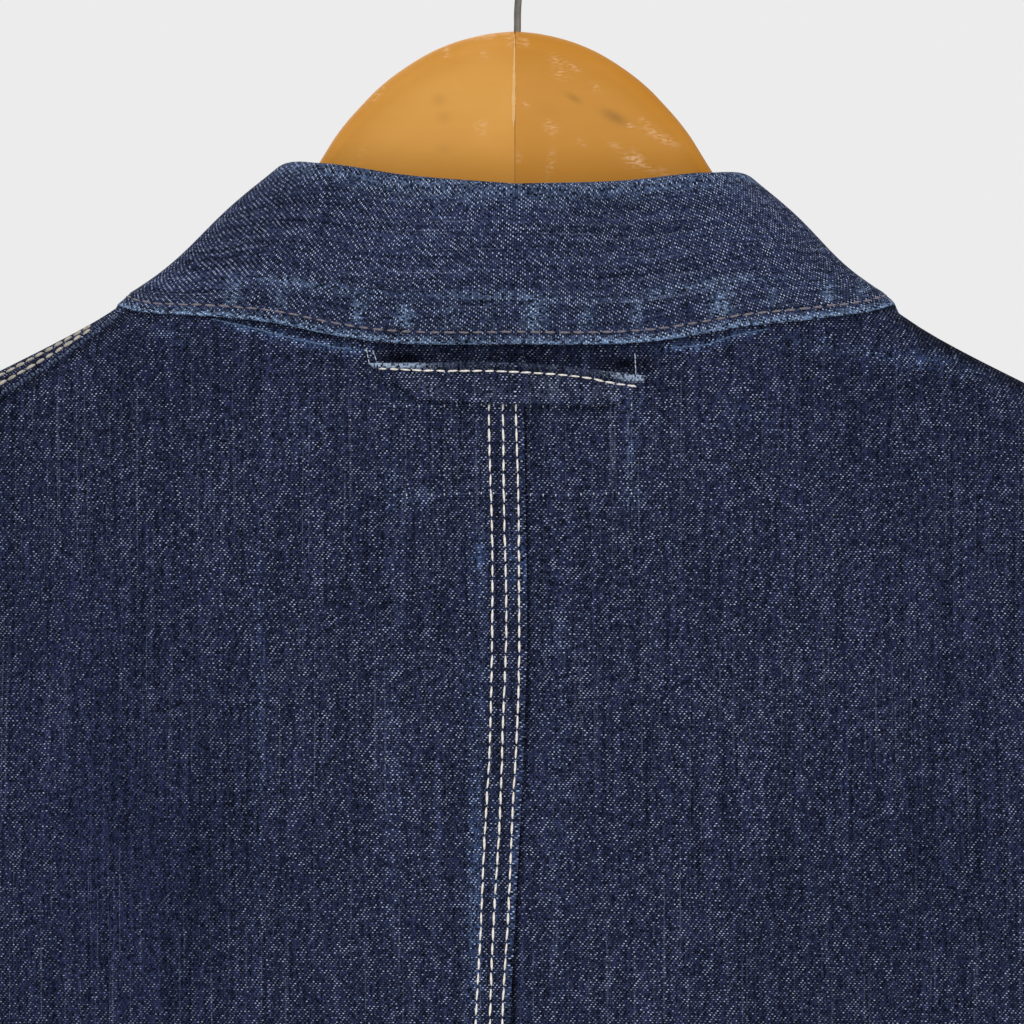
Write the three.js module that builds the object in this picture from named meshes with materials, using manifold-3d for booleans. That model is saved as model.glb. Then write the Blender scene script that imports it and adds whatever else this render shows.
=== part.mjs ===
// An indigo denim work jacket, buttoned up and hung on a contoured wooden hanger with a wire hook.
// Millimetres, +Z up, the jacket's front towards -Y. The origin is the inside top of the hook,
// where the rail carries it. "left" and "right" are the wearer's: left is +X.
//
// The body is one smooth shell cut into panels. A middle surface hangs from the shoulder ridge, and
// the back stands off it towards +Y and the front towards -Y, both rounded in to it at the sides.
import * as THREE from "three";
import { mergeVertices } from "three/addons/utils/BufferGeometryUtils.js";
import Module from "manifold-3d";

const wasm = await Module();
wasm.setup();

// Cloth and gaps
const CLOTH = 1.4; // one layer of denim, with its seam allowance averaged in
const COLLAR_CLOTH = 2.4; // two layers of denim
const STAND_CLOTH = 1.6;
const LOOP_CLOTH = 1.6;
const SEAM_GAP = 0.3;
const BACK = 1;
const FRONT = -1;
const LEFT = 1;
const RIGHT = -1;

// Levels, from the hook's seat down
const DOME_TOP = -66;
const UNDERARM = -425;
const HEM = -850;

// Shoulders and side
const NECK_SIDE = 80; // half the neck's width at the shoulder seam
const SHOULDER = 235; // half the shoulder width
const SHOULDER_ROLL = 20; // depth over which the cloth turns over the hanger's arm
const SIDE_POWER = 6; // how squarely the body turns in at the side
const HANG_Y = -15; // the middle surface, once it hangs clear of the hanger
const HANG_DEPTH = 260;

// Front closing
const OVERLAP = 18; // each front runs this far past the centre
const UNDERLAP_IN = 2.1; // the right front lies this far inside the left one
const BUTTON_RADIUS = 8.5;
const BUTTON_HEIGHT = 4;
const BUTTON_SEAT = 0.7;
const BUTTON_TOP = -236;
const BUTTON_STEP = 112;
const BUTTON_COUNT = 5;

// Hanger
const HANGER_HALF = 222;
const DOME_RADIUS = 53;
const ARM_BELOW_RIDGE = 2.5; // cloth and seam gap between the ridge's outside and the arm
const WIRE_RADIUS = 1.5;
const BORE_RADIUS = 1.9;
const BORE_DEPTH = 30;
const HOOK_INSIDE = 21; // inside radius of the hook

const lerp = THREE.MathUtils.lerp;
const clamp = THREE.MathUtils.clamp;
const smooth = (t) => THREE.MathUtils.smoothstep(t, 0, 1);
const point = (x, y, z) => new THREE.Vector3(x, y, z);

/** A smooth function through [at, value] pairs in rising order, level beyond its ends. */
function through(pairs) {
  const at = pairs.map((p) => p[0]);
  const value = pairs.map((p) => p[1]);
  const rise = at.slice(1).map((a, i) => (value[i + 1] - value[i]) / (a - at[i]));
  const slope = at.map((_, i) => {
    if (i === 0 || i === at.length - 1) return rise[Math.min(i, rise.length - 1)];
    const product = rise[i - 1] * rise[i];
    return product <= 0 ? 0 : (2 * product) / (rise[i - 1] + rise[i]);
  });
  return (x) => {
    if (x <= at[0]) return value[0];
    const last = at.length - 1;
    if (x >= at[last]) return value[last];
    const i = at.findIndex((a) => a > x) - 1;
    const h = at[i + 1] - at[i];
    const t = (x - at[i]) / h;
    const bend = value[i] - value[i + 1];
    const a = h * slope[i];
    const b = h * slope[i + 1];
    return value[i] + t * (a + t * (-3 * bend - 2 * a - b + t * (2 * bend + a + b)));
  };
}

// The shell of the body

// Height of the shoulder ridge by distance from the centre. Inside the neck it is only a guide.
const ridgeZ = through([
  [0, -92], [60, -113], [80, -124], [108, -142.4], [143, -163.6], [190, -185], [235, -205],
]);
const ridgeY = (x) => -0.05 * x - 0.0004 * x * x; // the hanger's arms sweep forward

// Half depth of the back and of the front by distance below the ridge
const backDepth = through([
  [0, 12.5], [60, 16], [110, 24], [170, 33], [250, 45], [340, 54], [500, 58], [760, 60],
]);
const frontDepth = through([
  [0, 12.5], [60, 22], [120, 38], [170, 47], [250, 56], [340, 63], [760, 64],
]);

// Half width of the body's section. Above the underarm it only shapes the sheets near the armhole.
const halfWidth = through([
  [HEM, 238], [-600, 233], [UNDERARM, 232], [-405, 245], [-380, 262], [-340, 290], [-205, 340],
]);

// Distance of the armhole seam from the centre
const armholeX = through([
  [UNDERARM, 232], [-405, 224], [-370, 217], [-310, 214], [-250, 221], [-205, SHOULDER],
]);

// The centre back seam hangs in a slight curve
const backSeamX = through([
  [HEM, 0], [-600, 2], [-420, 3.2], [-342, 1.8], [-308, 0.2], [-264, -1.9], [-230, -2.8], [-174, -1.9],
]);

// The largest hanging folds: face, place across, how far they stand in (-) or out, half width,
// the level where they begin, and how far they lean sideways from there to the hem
const FOLDS = [
  [BACK, 88, -6, 26, -230, 14], [BACK, -76, -6, 26, -240, -16], [BACK, 150, 5, 30, -330, 10],
  [BACK, -146, 6, 30, -330, -8], [BACK, 34, 4, 24, -420, -4], [BACK, -18, -4, 22, -470, 4],
  [FRONT, 92, -7, 28, -240, 10], [FRONT, -96, -6, 28, -240, -14], [FRONT, 156, 6, 28, -330, 6],
  [FRONT, -150, 6, 28, -340, -10],
];
const FOLD_RISE = 260; // depth over which a fold grows to its full size

function foldDepth(face, x, z) {
  let sum = 0;
  for (const [side, at, depth, width, start, lean] of FOLDS) {
    if (side !== face || z > start) continue;
    const fall = (start - z) / (start - HEM);
    const across = (x - at - lean * fall) / width;
    sum += depth * Math.exp(-across * across) * smooth((start - z) / FOLD_RISE);
  }
  return sum;
}

/** Where the sheets' middle surface lies, the half depth there, and how much the side takes off it. */
function shell(face, x, z) {
  const out = Math.abs(x);
  const below = ridgeZ(out) - z;
  const roll = Math.min(below / SHOULDER_ROLL, 1);
  return {
    middle: lerp(ridgeY(out), HANG_Y, smooth(below / HANG_DEPTH)),
    depth: (face === BACK ? backDepth : frontDepth)(below),
    share: (1 - (1 - roll) ** 2) * (1 - (out / halfWidth(z)) ** SIDE_POWER),
  };
}

/** A point on the outside of the body's back or front. */
function onBody(face, x, z) {
  const { middle, depth, share } = shell(face, x, z);
  return point(x, middle + face * (depth * Math.sqrt(Math.max(share, 0)) + foldDepth(face, x, z)), z);
}

/** The outward direction there, also on the ridge and on the side seam, where both sheets agree. */
function bodyNormal(face, p) {
  const outside = (x, y, z) => {
    const { middle, depth, share } = shell(face, x, z);
    return (y - middle - face * foldDepth(face, x, z)) ** 2 - depth * depth * share;
  };
  const step = 0.02;
  return point(
    outside(p.x + step, p.y, p.z) - outside(p.x - step, p.y, p.z),
    outside(p.x, p.y + step, p.z) - outside(p.x, p.y - step, p.z),
    outside(p.x, p.y, p.z + step) - outside(p.x, p.y, p.z - step),
  ).normalize();
}

// Walls from grids of points

/** Outward directions of a grid of points, from its own rows and columns. */
function gridNormals(grid, closed) {
  const rows = grid.length;
  const columns = grid[0].length;
  const column = (i) => (closed ? (i + columns) % columns : clamp(i, 0, columns - 1));
  return grid.map((row, v) =>
    row.map((_, u) => {
      const along = row[column(u + 1)].clone().sub(row[column(u - 1)]);
      const down = grid[Math.min(v + 1, rows - 1)][u].clone().sub(grid[Math.max(v - 1, 0)][u]);
      return along.cross(down).normalize();
    }),
  );
}

/** A closed wall between a grid of points and the same grid moved in by its thickness. */
function wall(grid, normals, thickness, closed = false) {
  const rows = grid.length;
  const columns = grid[0].length;
  const inner = grid.map((row, v) =>
    row.map((p, u) => p.clone().addScaledVector(normals[v][u], -thickness)),
  );
  const at = (layer, v, u) => (layer * rows + v) * columns + (u % columns);
  const index = [];
  const quad = (a, b, c, d) => index.push(a, b, c, a, c, d);
  const spans = closed ? columns : columns - 1;
  for (let v = 0; v < rows - 1; v++) {
    for (let u = 0; u < spans; u++) {
      quad(at(0, v, u), at(0, v + 1, u), at(0, v + 1, u + 1), at(0, v, u + 1));
      quad(at(1, v, u), at(1, v, u + 1), at(1, v + 1, u + 1), at(1, v + 1, u));
    }
    if (!closed) {
      quad(at(0, v, 0), at(1, v, 0), at(1, v + 1, 0), at(0, v + 1, 0));
      quad(at(0, v, spans), at(0, v + 1, spans), at(1, v + 1, spans), at(1, v, spans));
    }
  }
  for (let u = 0; u < spans; u++) {
    quad(at(0, 0, u), at(0, 0, u + 1), at(1, 0, u + 1), at(1, 0, u));
    quad(at(0, rows - 1, u), at(1, rows - 1, u), at(1, rows - 1, u + 1), at(0, rows - 1, u + 1));
  }
  return facingOut([...grid.flat(), ...inner.flat()], index);
}

/** A closed solid through equal rings of points, with a flat fan at each end. */
function loft(rings) {
  const count = rings[0].length;
  const index = [];
  for (let v = 0; v < rings.length - 1; v++) {
    for (let u = 0; u < count; u++) {
      const [a, b] = [v * count + u, v * count + ((u + 1) % count)];
      index.push(a, b, b + count, a, b + count, a + count);
    }
  }
  const last = (rings.length - 1) * count;
  for (let u = 1; u < count - 1; u++) {
    index.push(0, u + 1, u, last, last + u, last + u + 1);
  }
  return facingOut(rings.flat(), index);
}

/** A geometry of these points and triangles, turned round where its faces point inwards. */
function facingOut(points, index) {
  let volume = 0;
  for (let i = 0; i < index.length; i += 3) {
    const [a, b, c] = [points[index[i]], points[index[i + 1]], points[index[i + 2]]];
    volume += a.dot(b.clone().cross(c));
  }
  if (volume < 0) {
    for (let i = 0; i < index.length; i += 3) [index[i], index[i + 1]] = [index[i + 1], index[i]];
  }
  const geometry = new THREE.BufferGeometry().setFromPoints(points);
  return geometry.setIndex(index);
}

/** One geometry with another cut out of it. */
function cut(geometry, tool) {
  const solids = [geometry, tool].map((g) => {
    const bare = new THREE.BufferGeometry().setAttribute("position", g.getAttribute("position").clone());
    const merged = mergeVertices(bare.setIndex(g.index.clone()));
    return new wasm.Manifold(
      new wasm.Mesh({
        numProp: 3,
        vertProperties: merged.attributes.position.array,
        triVerts: new Uint32Array(merged.index.array),
      }),
    );
  });
  const mesh = solids[0].subtract(solids[1]).getMesh();
  return new THREE.BufferGeometry()
    .setAttribute("position", new THREE.BufferAttribute(mesh.vertProperties, 3))
    .setIndex(new THREE.BufferAttribute(mesh.triVerts, 1));
}

// Body panels

const SHOULDER_COLUMNS = 7;
const LOWER_ROWS = 10;
// How far down from the shoulder to the underarm each row lies: closest where the cloth turns most
const UPPER_FALL = [0, 0.004, 0.02, 0.06, 0.13, 0.24, 0.38, 0.53, 0.68, 0.81, 0.91, 0.97, 1];
const UPPER_ROWS = UPPER_FALL.length - 1;

// Necklines as seen from behind or in front: distance from the centre, and height
const flatCurve = (pairs) => new THREE.SplineCurve(pairs.map((p) => new THREE.Vector2(...p)));
const neckline = {
  [BACK]: flatCurve([[0, -154.5], [34, -151.5], [62, -141], [NECK_SIDE, -124]]),
  [FRONT]: flatCurve([
    [-OVERLAP, -212.5], [3, -212], [30, -206], [58, -181], [75, -150], [NECK_SIDE, -124],
  ]),
};
// Where along them the panels' columns start, closest where the cloth turns over the shoulder
const NECK_AT = {
  [BACK]: [0, 1 / 3, 0.6, 0.8, 0.92, 0.98, 1],
  [FRONT]: [0, 0.2, 0.4, 0.6, 0.8, 0.92, 0.98, 1],
};

/** Places across the body at one level, evenly spaced along the cloth from a start to the side seam. */
function evenAcross(face, z, start, columns) {
  const dense = 160;
  const side = halfWidth(z);
  const run = [];
  for (let i = 0; i <= dense; i++) {
    const turn = Math.sin(((i / dense) * Math.PI) / 2);
    run.push(onBody(face, lerp(start, side, turn), z));
  }
  const length = [0];
  for (let i = 1; i <= dense; i++) length.push(length[i - 1] + run[i].distanceTo(run[i - 1]));
  return Array.from({ length: columns + 1 }, (_, u) => {
    const want = (u / columns) * length[dense];
    const i = clamp(length.findIndex((l) => l >= want) - 1, 0, dense - 1);
    const t = (want - length[i]) / (length[i + 1] - length[i] || 1);
    return (lerp(run[i].x, run[i + 1].x, t) - start) / (side - start);
  });
}

/** The grid of a half panel, rows from the neck and shoulder down, columns from the centre out. */
function panelGrid(face, side) {
  const neckColumns = NECK_AT[face].length - 1;
  const columns = neckColumns + SHOULDER_COLUMNS;
  const centre = (z) => (face === BACK ? side * backSeamX(z) + SEAM_GAP / 2 : -OVERLAP);
  const top = NECK_AT[face].map((t) => neckline[face].getPoint(t));
  for (let u = 1; u <= SHOULDER_COLUMNS; u++) {
    const x = lerp(NECK_SIDE, SHOULDER, u / SHOULDER_COLUMNS);
    top.push(new THREE.Vector2(x, ridgeZ(x)));
  }
  top[0].x = centre(top[0].y);
  const topShare = top.map((p) => (p.x - centre(p.y)) / (SHOULDER - centre(p.y)));
  const chestShare = evenAcross(face, UNDERARM, centre(UNDERARM), columns);

  const rows = [];
  for (const fall of UPPER_FALL) {
    const edge = armholeX(lerp(ridgeZ(SHOULDER), UNDERARM, fall));
    rows.push(
      top.map((p, u) => {
        const z = lerp(p.y, UNDERARM, fall);
        const share = lerp(topShare[u], chestShare[u], smooth(fall));
        return [lerp(centre(z), edge, share), z];
      }),
    );
  }
  for (let v = 1; v <= LOWER_ROWS; v++) {
    const z = lerp(UNDERARM, HEM, v / LOWER_ROWS);
    const share = evenAcross(face, z, centre(z), columns);
    rows.push(share.map((s) => [lerp(centre(z), halfWidth(z), s), z]));
  }
  return rows.map((row, v) =>
    row.map(([x, z], u) => {
      const p = onBody(face, side * x, z);
      const onRidge = v === 0 && u >= neckColumns;
      const onSide = u === columns && v >= UPPER_ROWS;
      if (onRidge || onSide) p.y += (face * SEAM_GAP) / 2;
      return p;
    }),
  );
}

function panel(face, side) {
  const grid = panelGrid(face, side);
  const normals = grid.map((row) => row.map((p) => bodyNormal(face, p)));
  if (face === FRONT && side === RIGHT) {
    grid.forEach((row, v) =>
      row.forEach((p, u) => {
        const under = smooth((p.x + 3 * OVERLAP) / (2 * OVERLAP));
        p.addScaledVector(normals[v][u], -UNDERLAP_IN * under);
      }),
    );
  }
  return wall(grid, normals, CLOTH);
}

// Sleeves

const SLEEVE_ROUND = 2 * UPPER_ROWS;
const SLEEVE_ROWS = 18;
const HEAD_SHARE = 0.22; // the part of the length over which the armhole turns into the tube
const sleeveTop = new THREE.CatmullRomCurve3(
  [
    [235, -33.8, -205], [257, -33, -215], [290, -32, -248], [321, -33, -315],
    [343, -36, -404], [357, -42, -506], [363, -50, -640], [355, -60, -790],
  ].map((p) => point(...p)),
);
const sleeveUnder = new THREE.CatmullRomCurve3(
  [
    [232, -15, -425], [236.5, -15, -431], [240, -16, -444], [242.5, -19, -475],
    [243, -23, -530], [243, -30, -610], [243.5, -38, -695], [245, -48, -785],
  ].map((p) => point(...p)),
);
const sleeveHalfDepth = through([[0, 37], [0.3, 43], [0.55, 42], [0.8, 37], [1, 31]]);
// Soft creases round the elbow: place along the sleeve, how far they stand in, half width, slant
const SLEEVE_CREASES = [
  [0.44, -4, 0.035, 0.03], [0.54, -5, 0.03, -0.03], [0.64, -4, 0.03, 0.03], [0.9, -3, 0.025, 0.02],
];

/** The armhole seam, from the shoulder down the back and up the front, with the body's directions. */
function armhole(side) {
  const edge = (face) => panelGrid(face, side).slice(0, UPPER_ROWS + 1).map((row) => row.at(-1));
  const back = edge(BACK);
  const front = edge(FRONT);
  for (const v of [0, UPPER_ROWS]) back[v].lerp(front[v], 0.5);
  const ring = [...back, ...front.slice(1, UPPER_ROWS).reverse()];
  const normals = ring.map((p, i) => bodyNormal(i <= UPPER_ROWS ? BACK : FRONT, p));
  return { ring, normals };
}

function sleeve(side) {
  const { ring, normals: bodyNormals } = armhole(side);
  const mirror = point(side, 1, 1);
  const start = sleeveTop.getPoint(0).add(sleeveUnder.getPoint(0)).multiplyScalar(0.5);
  const grid = [];
  for (let v = 0; v <= SLEEVE_ROWS; v++) {
    const along = v / SLEEVE_ROWS;
    const top = sleeveTop.getPoint(along);
    const under = sleeveUnder.getPoint(along);
    const middle = top.clone().add(under).multiplyScalar(0.5);
    const reach = top.clone().sub(under).multiplyScalar(0.5);
    const tube = smooth(along / HEAD_SHARE);
    const drift = middle.clone().sub(start).multiply(mirror);
    drift.x += side * SEAM_GAP * (1 - tube);
    grid.push(
      ring.map((seam, u) => {
        const turn = (u / SLEEVE_ROUND) * 2 * Math.PI;
        let swell = 0;
        for (const [at, depth, width, slant] of SLEEVE_CREASES) {
          const across = (along - at - slant * Math.cos(turn)) / width;
          swell += depth * Math.exp(-across * across) * (0.5 - 0.5 * Math.cos(turn));
        }
        const deep = sleeveHalfDepth(along) + swell;
        const round = middle.clone().addScaledVector(reach, Math.cos(turn));
        round.y += deep * Math.sin(turn);
        return seam.clone().add(drift).lerp(round.multiply(mirror), tube);
      }),
    );
  }
  const normals = gridNormals(grid, true);
  if (normals[SLEEVE_ROWS][0].x * side < 0) normals.flat().forEach((n) => n.negate());
  // At the seam the sleeve's wall turns in as the body's does, except round the underarm.
  normals[0].forEach((n, u) => {
    const up = Math.cos((u / SLEEVE_ROUND) * 2 * Math.PI);
    n.lerp(bodyNormals[u], smooth((up + 0.75) / 0.5)).normalize();
  });
  return wall(grid, normals, CLOTH, true);
}

// Collar

const ROLL_RADIUS = 2.6; // of the collar's fold, at the middle of the cloth
const ROLL_TILT = 1.3; // the left side of the roll stands this much higher, and the right lower
const LEAF_INSIDE = 7; // the leaf reaches this far down inside the neck, to the stand's seam
const LEAF_ROWS = 6;
const LEAF_BULGE = 1.5;
const LEAF_OFF = 3.2; // distance of the leaf's edge off the body, at the middle of the cloth
const STAND_GAP = 0.75;

// The roll, and the outer edge, each at stations 0 to 7 from the centre back to the front end.
// The edge lies on the body: distance from the centre, and depth below the shoulder ridge,
// positive on the back and negative on the front.
const ROLL = new THREE.CatmullRomCurve3(
  [
    [0, 15.8, -109.8], [29, 14.6, -108.2], [54, 8.8, -104.9], [66, -9, -105.6],
    [63, -27, -124], [47, -38, -152], [26, -45, -182], [5, -49, -205],
  ].map((p) => point(...p)),
);
const LEAF_EDGE = flatCurve([
  [0, 60.7], [40, 46.4], [76, 24.6], [107, 0], [113, -15], [107, -42], [94, -78], [75, -119],
]);
// Stations between those of the panels' columns, where these are far apart
const MORE_STATIONS = [0.5, 1.4, 2.1, 3.7, 4.5, 5.5, 6.5];

/** The collar's seam, roll and edge on one side, at stations from the centre back to the front end. */
function collarLines(side) {
  const ends = [0, 1].map((t) => NECK_AT[FRONT][t]);
  const seam = NECK_AT[BACK].map((t, u) => [3 * t, panelGrid(BACK, side)[0][u], BACK]);
  const front = panelGrid(FRONT, side)[0];
  for (let u = NECK_AT[FRONT].length - 2; u >= 1; u--) {
    seam.push([3 + (1 - NECK_AT[FRONT][u]) / (ends[1] - ends[0]), front[u], FRONT]);
  }
  const neck = seam.map(([at, p, face]) => ({
    at,
    foot: p.clone().addScaledVector(bodyNormal(face, p), -CLOTH / 2),
  }));
  for (const at of MORE_STATIONS) {
    const next = neck.findIndex((n) => n.at > at);
    const [a, b] = [neck[next - 1], neck[next]];
    neck.splice(next, 0, { at, foot: a.foot.clone().lerp(b.foot, (at - a.at) / (b.at - a.at)) });
  }
  return neck.map(({ at, foot }) => {
    const roll = ROLL.getPoint(at / 7);
    roll.z += side * ROLL_TILT * clamp(roll.x / 60, 0, 1);
    const flat = LEAF_EDGE.getPoint(at / 7);
    const face = flat.y >= 0 ? BACK : FRONT;
    const edge = onBody(face, flat.x, ridgeZ(flat.x) - Math.abs(flat.y));
    edge.addScaledVector(bodyNormal(face, edge), LEAF_OFF);
    const mirror = point(side, 1, 1);
    return { seam: foot, roll: roll.multiply(mirror), edge: edge.multiply(mirror) };
  });
}

/** Sections of the collar: the leaf's from the stand's seam over the roll to its edge, and the stand's. */
function collarSections() {
  const lines = [...collarLines(RIGHT).slice(1).reverse(), ...collarLines(LEFT)];
  const up = point(0, 0, 1);
  return lines.map(({ seam, roll: top, edge }, i) => {
    const ahead = lines[Math.min(i + 1, lines.length - 1)].roll.clone();
    ahead.sub(lines[Math.max(i - 1, 0)].roll);
    const out = ahead.cross(up).setZ(0).normalize();
    if (out.dot(edge.clone().sub(top)) < 0) out.negate();
    const heart = top.clone().addScaledVector(up, -ROLL_RADIUS);
    const inside = heart.clone().addScaledVector(out, -ROLL_RADIUS);
    const down = seam.clone().sub(inside);
    const reach = down.length();
    down.normalize();
    const inSeam = inside.clone().addScaledVector(down, Math.min(LEAF_INSIDE, reach / 2));
    const leaf = [inSeam];
    for (let turn = 0; turn <= 4; turn++) {
      const angle = Math.PI * (1 - turn / 4);
      const p = heart.clone().addScaledVector(out, ROLL_RADIUS * Math.cos(angle));
      leaf.push(p.addScaledVector(up, ROLL_RADIUS * Math.sin(angle)));
    }
    const outside = leaf[leaf.length - 1].clone();
    for (let row = 1; row <= LEAF_ROWS; row++) {
      const share = row / LEAF_ROWS;
      const p = outside.clone().lerp(edge, share);
      const bulge = LEAF_BULGE * Math.sin(Math.PI * share);
      leaf.push(p.addScaledVector(out, bulge).addScaledVector(up, bulge / 2));
    }
    const foot = seam.clone().addScaledVector(down, -STAND_GAP);
    const head = inSeam.clone().addScaledVector(down, STAND_GAP);
    const stand = [foot, foot.clone().lerp(head, 0.5), head];
    const standOut = out.clone().addScaledVector(down, -out.dot(down)).normalize();
    return { leaf, stand, standOut };
  });
}

/** A wall on both sides of a grid of points. */
function centredWall(grid, normals, thickness) {
  const outer = grid.map((row, v) =>
    row.map((p, u) => p.clone().addScaledVector(normals[v][u], thickness / 2)),
  );
  return wall(outer, normals, thickness);
}

// Hang loop: a folded strip sewn on at its ends, below the collar on the back

const LOOP_COLUMNS = 14;
const LOOP_ROWS = 2;
const LOOP_TOP = [[40, -158.6], [20, -158.4], [0, -158.7], [-18, -160.4], [-36, -164]];
const LOOP_BOTTOM = [[27, -168.4], [14, -169], [-1, -169.4], [-16, -169.8], [-29, -169.6]];
const LOOP_STAND_OFF = 6.2; // clear space behind the strip's middle
const LOOP_SEWN = 0.5; // and at its sewn ends

function hangLoop() {
  const [top, bottom] = [flatCurve(LOOP_TOP), flatCurve(LOOP_BOTTOM)];
  const grid = [];
  for (let v = 0; v <= LOOP_ROWS; v++) {
    const row = [];
    for (let u = 0; u <= LOOP_COLUMNS; u++) {
      const along = u / LOOP_COLUMNS;
      const at = top.getPoint(along).lerp(bottom.getPoint(along), v / LOOP_ROWS);
      const p = onBody(BACK, at.x, at.y);
      const free = smooth(Math.min(along, 1 - along) / 0.22);
      const off = lerp(LOOP_SEWN, LOOP_STAND_OFF, free) + LOOP_CLOTH;
      row.push(p.addScaledVector(bodyNormal(BACK, p), off));
    }
    grid.push(row);
  }
  const normals = grid.map((row) => row.map((p) => bodyNormal(BACK, onBody(BACK, p.x, p.z))));
  return wall(grid, normals, LOOP_CLOTH);
}

// Buttons

function button(z) {
  const r = BUTTON_RADIUS;
  const h = BUTTON_HEIGHT;
  const profile = [
    [0, 0], [r * 0.55, 0], [r, h * 0.45], [r, h * 0.75], [r * 0.86, h], [r * 0.5, h * 0.8], [0, h * 0.8],
  ];
  const geometry = new THREE.LatheGeometry(profile.map((p) => new THREE.Vector2(...p)), 16);
  const seat = onBody(FRONT, 0, z);
  const out = bodyNormal(FRONT, seat);
  const mesh = new THREE.Mesh(geometry, metal);
  mesh.position.copy(seat.addScaledVector(out, BUTTON_SEAT));
  mesh.quaternion.setFromUnitVectors(point(0, 1, 0), out);
  return mesh;
}

// Hanger

const HANGER_STATIONS = 17;
const HANGER_ROUND = 16;
const CORNER_POINTS = HANGER_ROUND / 4;
const EDGE_ROUND = 0.85; // the board's edges are nearly half round
const hangerBottom = through([
  [0, -158], [40, -160], [80, -172], [108, -188], [143, -206], [190, -224], [HANGER_HALF, -234],
]);
const hangerHalfThick = through([[0, 6.4], [60, 6.2], [110, 5.3], [HANGER_HALF, 5.2]]);
const DOME_END = 0.94 * DOME_RADIUS; // half the dome's width where it runs into the arms
const neckTop = through([
  [DOME_END, -101.2], [57, -110.5], [66, -119.6], [NECK_SIDE, ridgeZ(NECK_SIDE) - ARM_BELOW_RIDGE],
]);
const END_ROUND = 16;

function hangerTop(x) {
  if (x < DOME_END) return DOME_TOP - DOME_RADIUS + Math.sqrt(DOME_RADIUS ** 2 - x * x);
  return x < NECK_SIDE ? neckTop(x) : ridgeZ(x) - ARM_BELOW_RIDGE;
}

/** Half of the hanger's board: rounded sections from the glued joint out to the arm's end. */
function hangerHalf(side) {
  const rings = [];
  for (let i = 0; i <= HANGER_STATIONS; i++) {
    const x = lerp(SEAM_GAP / 2, HANGER_HALF, i / HANGER_STATIONS);
    const nearEnd = Math.max(0, (x - HANGER_HALF + END_ROUND) / END_ROUND);
    const close = Math.sqrt(Math.max(1 - nearEnd ** 2, 0.04));
    const high = hangerTop(x);
    const low = hangerBottom(x);
    const middle = (high + low) / 2;
    const tall = ((high - low) / 2) * close;
    const thick = hangerHalfThick(x) * Math.sqrt(close);
    const edge = EDGE_ROUND * thick;
    const ring = [];
    for (let k = 0; k < HANGER_ROUND; k++) {
      const corner = Math.floor((4 * k) / HANGER_ROUND);
      const turn = ((corner + (k % CORNER_POINTS) / (CORNER_POINTS - 1)) * Math.PI) / 2;
      const outY = corner === 0 || corner === 3 ? 1 : -1;
      const outZ = corner < 2 ? 1 : -1;
      const y = outY * (thick - edge) + edge * Math.cos(turn);
      const z = outZ * Math.max(tall - edge, 0) + Math.min(edge, tall) * Math.sin(turn);
      ring.push(point(side * x, ridgeY(x) + y, middle + z));
    }
    rings.push(ring);
  }
  const bore = new THREE.CylinderGeometry(BORE_RADIUS, BORE_RADIUS, 2 * BORE_DEPTH, 16);
  bore.deleteAttribute("normal").deleteAttribute("uv");
  return cut(loft(rings), bore.rotateX(Math.PI / 2).translate(0, 0, DOME_TOP));
}

/** The wire hook: a straight shank out of the board, and a round hook over the rail. */
function hook() {
  const r = HOOK_INSIDE + WIRE_RADIUS;
  const heart = -HOOK_INSIDE;
  const onHook = (degrees) => {
    const turn = THREE.MathUtils.degToRad(degrees);
    return point(-r * Math.sin(turn), 0, heart - r * Math.cos(turn));
  };
  const shank = [[0, DOME_TOP - BORE_DEPTH + 2], [0, DOME_TOP], [-0.3, DOME_TOP + 9], [-2, DOME_TOP + 15]];
  const route = shank.map(([x, z]) => point(x, 0, z));
  for (let degrees = 35; degrees <= 290; degrees += 15) route.push(onHook(degrees));
  const section = new THREE.Shape().absarc(0, 0, WIRE_RADIUS, 0, 2 * Math.PI);
  return new THREE.ExtrudeGeometry(section, {
    steps: 52,
    curveSegments: 4,
    bevelEnabled: false,
    extrudePath: new THREE.CatmullRomCurve3(route),
  });
}

// The jacket

const denim = new THREE.MeshStandardMaterial({ color: 0x2a3048, roughness: 0.95, metalness: 0 });
const collarDenim = new THREE.MeshStandardMaterial({ color: 0x353d58, roughness: 0.95, metalness: 0 });
const varnishedWood = new THREE.MeshStandardMaterial({ color: 0xcf9549, roughness: 0.4, metalness: 0 });
const wire = new THREE.MeshStandardMaterial({ color: 0x8a8580, roughness: 0.35, metalness: 1 });
const metal = new THREE.MeshStandardMaterial({ color: 0x7d7466, roughness: 0.4, metalness: 1 });

const jacket = new THREE.Group();
const add = (name, geometry, material) => {
  const mesh = new THREE.Mesh(geometry, material);
  mesh.name = name;
  jacket.add(mesh);
};

for (const [word, side] of [["left", LEFT], ["right", RIGHT]]) {
  add(`back_${word}`, panel(BACK, side), denim);
  add(`front_${word}`, panel(FRONT, side), denim);
  add(`sleeve_${word}`, sleeve(side), denim);
  add(`hanger_board_${word}`, hangerHalf(side), varnishedWood);
}
const sections = collarSections();
const leaf = sections.map((s) => s.leaf);
const stand = sections.map((s) => s.stand);
const standOut = sections.map((s) => s.stand.map(() => s.standOut));
add("collar_leaf", centredWall(leaf, gridNormals(leaf, false), COLLAR_CLOTH), collarDenim);
add("collar_stand", centredWall(stand, standOut, STAND_CLOTH), collarDenim);
add("hang_loop", hangLoop(), denim);
add("hanger_hook", hook(), wire);
for (let i = 0; i < BUTTON_COUNT; i++) {
  const mesh = button(BUTTON_TOP - i * BUTTON_STEP);
  mesh.name = `button_${i + 1}`;
  jacket.add(mesh);
}

export default jacket;
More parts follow.
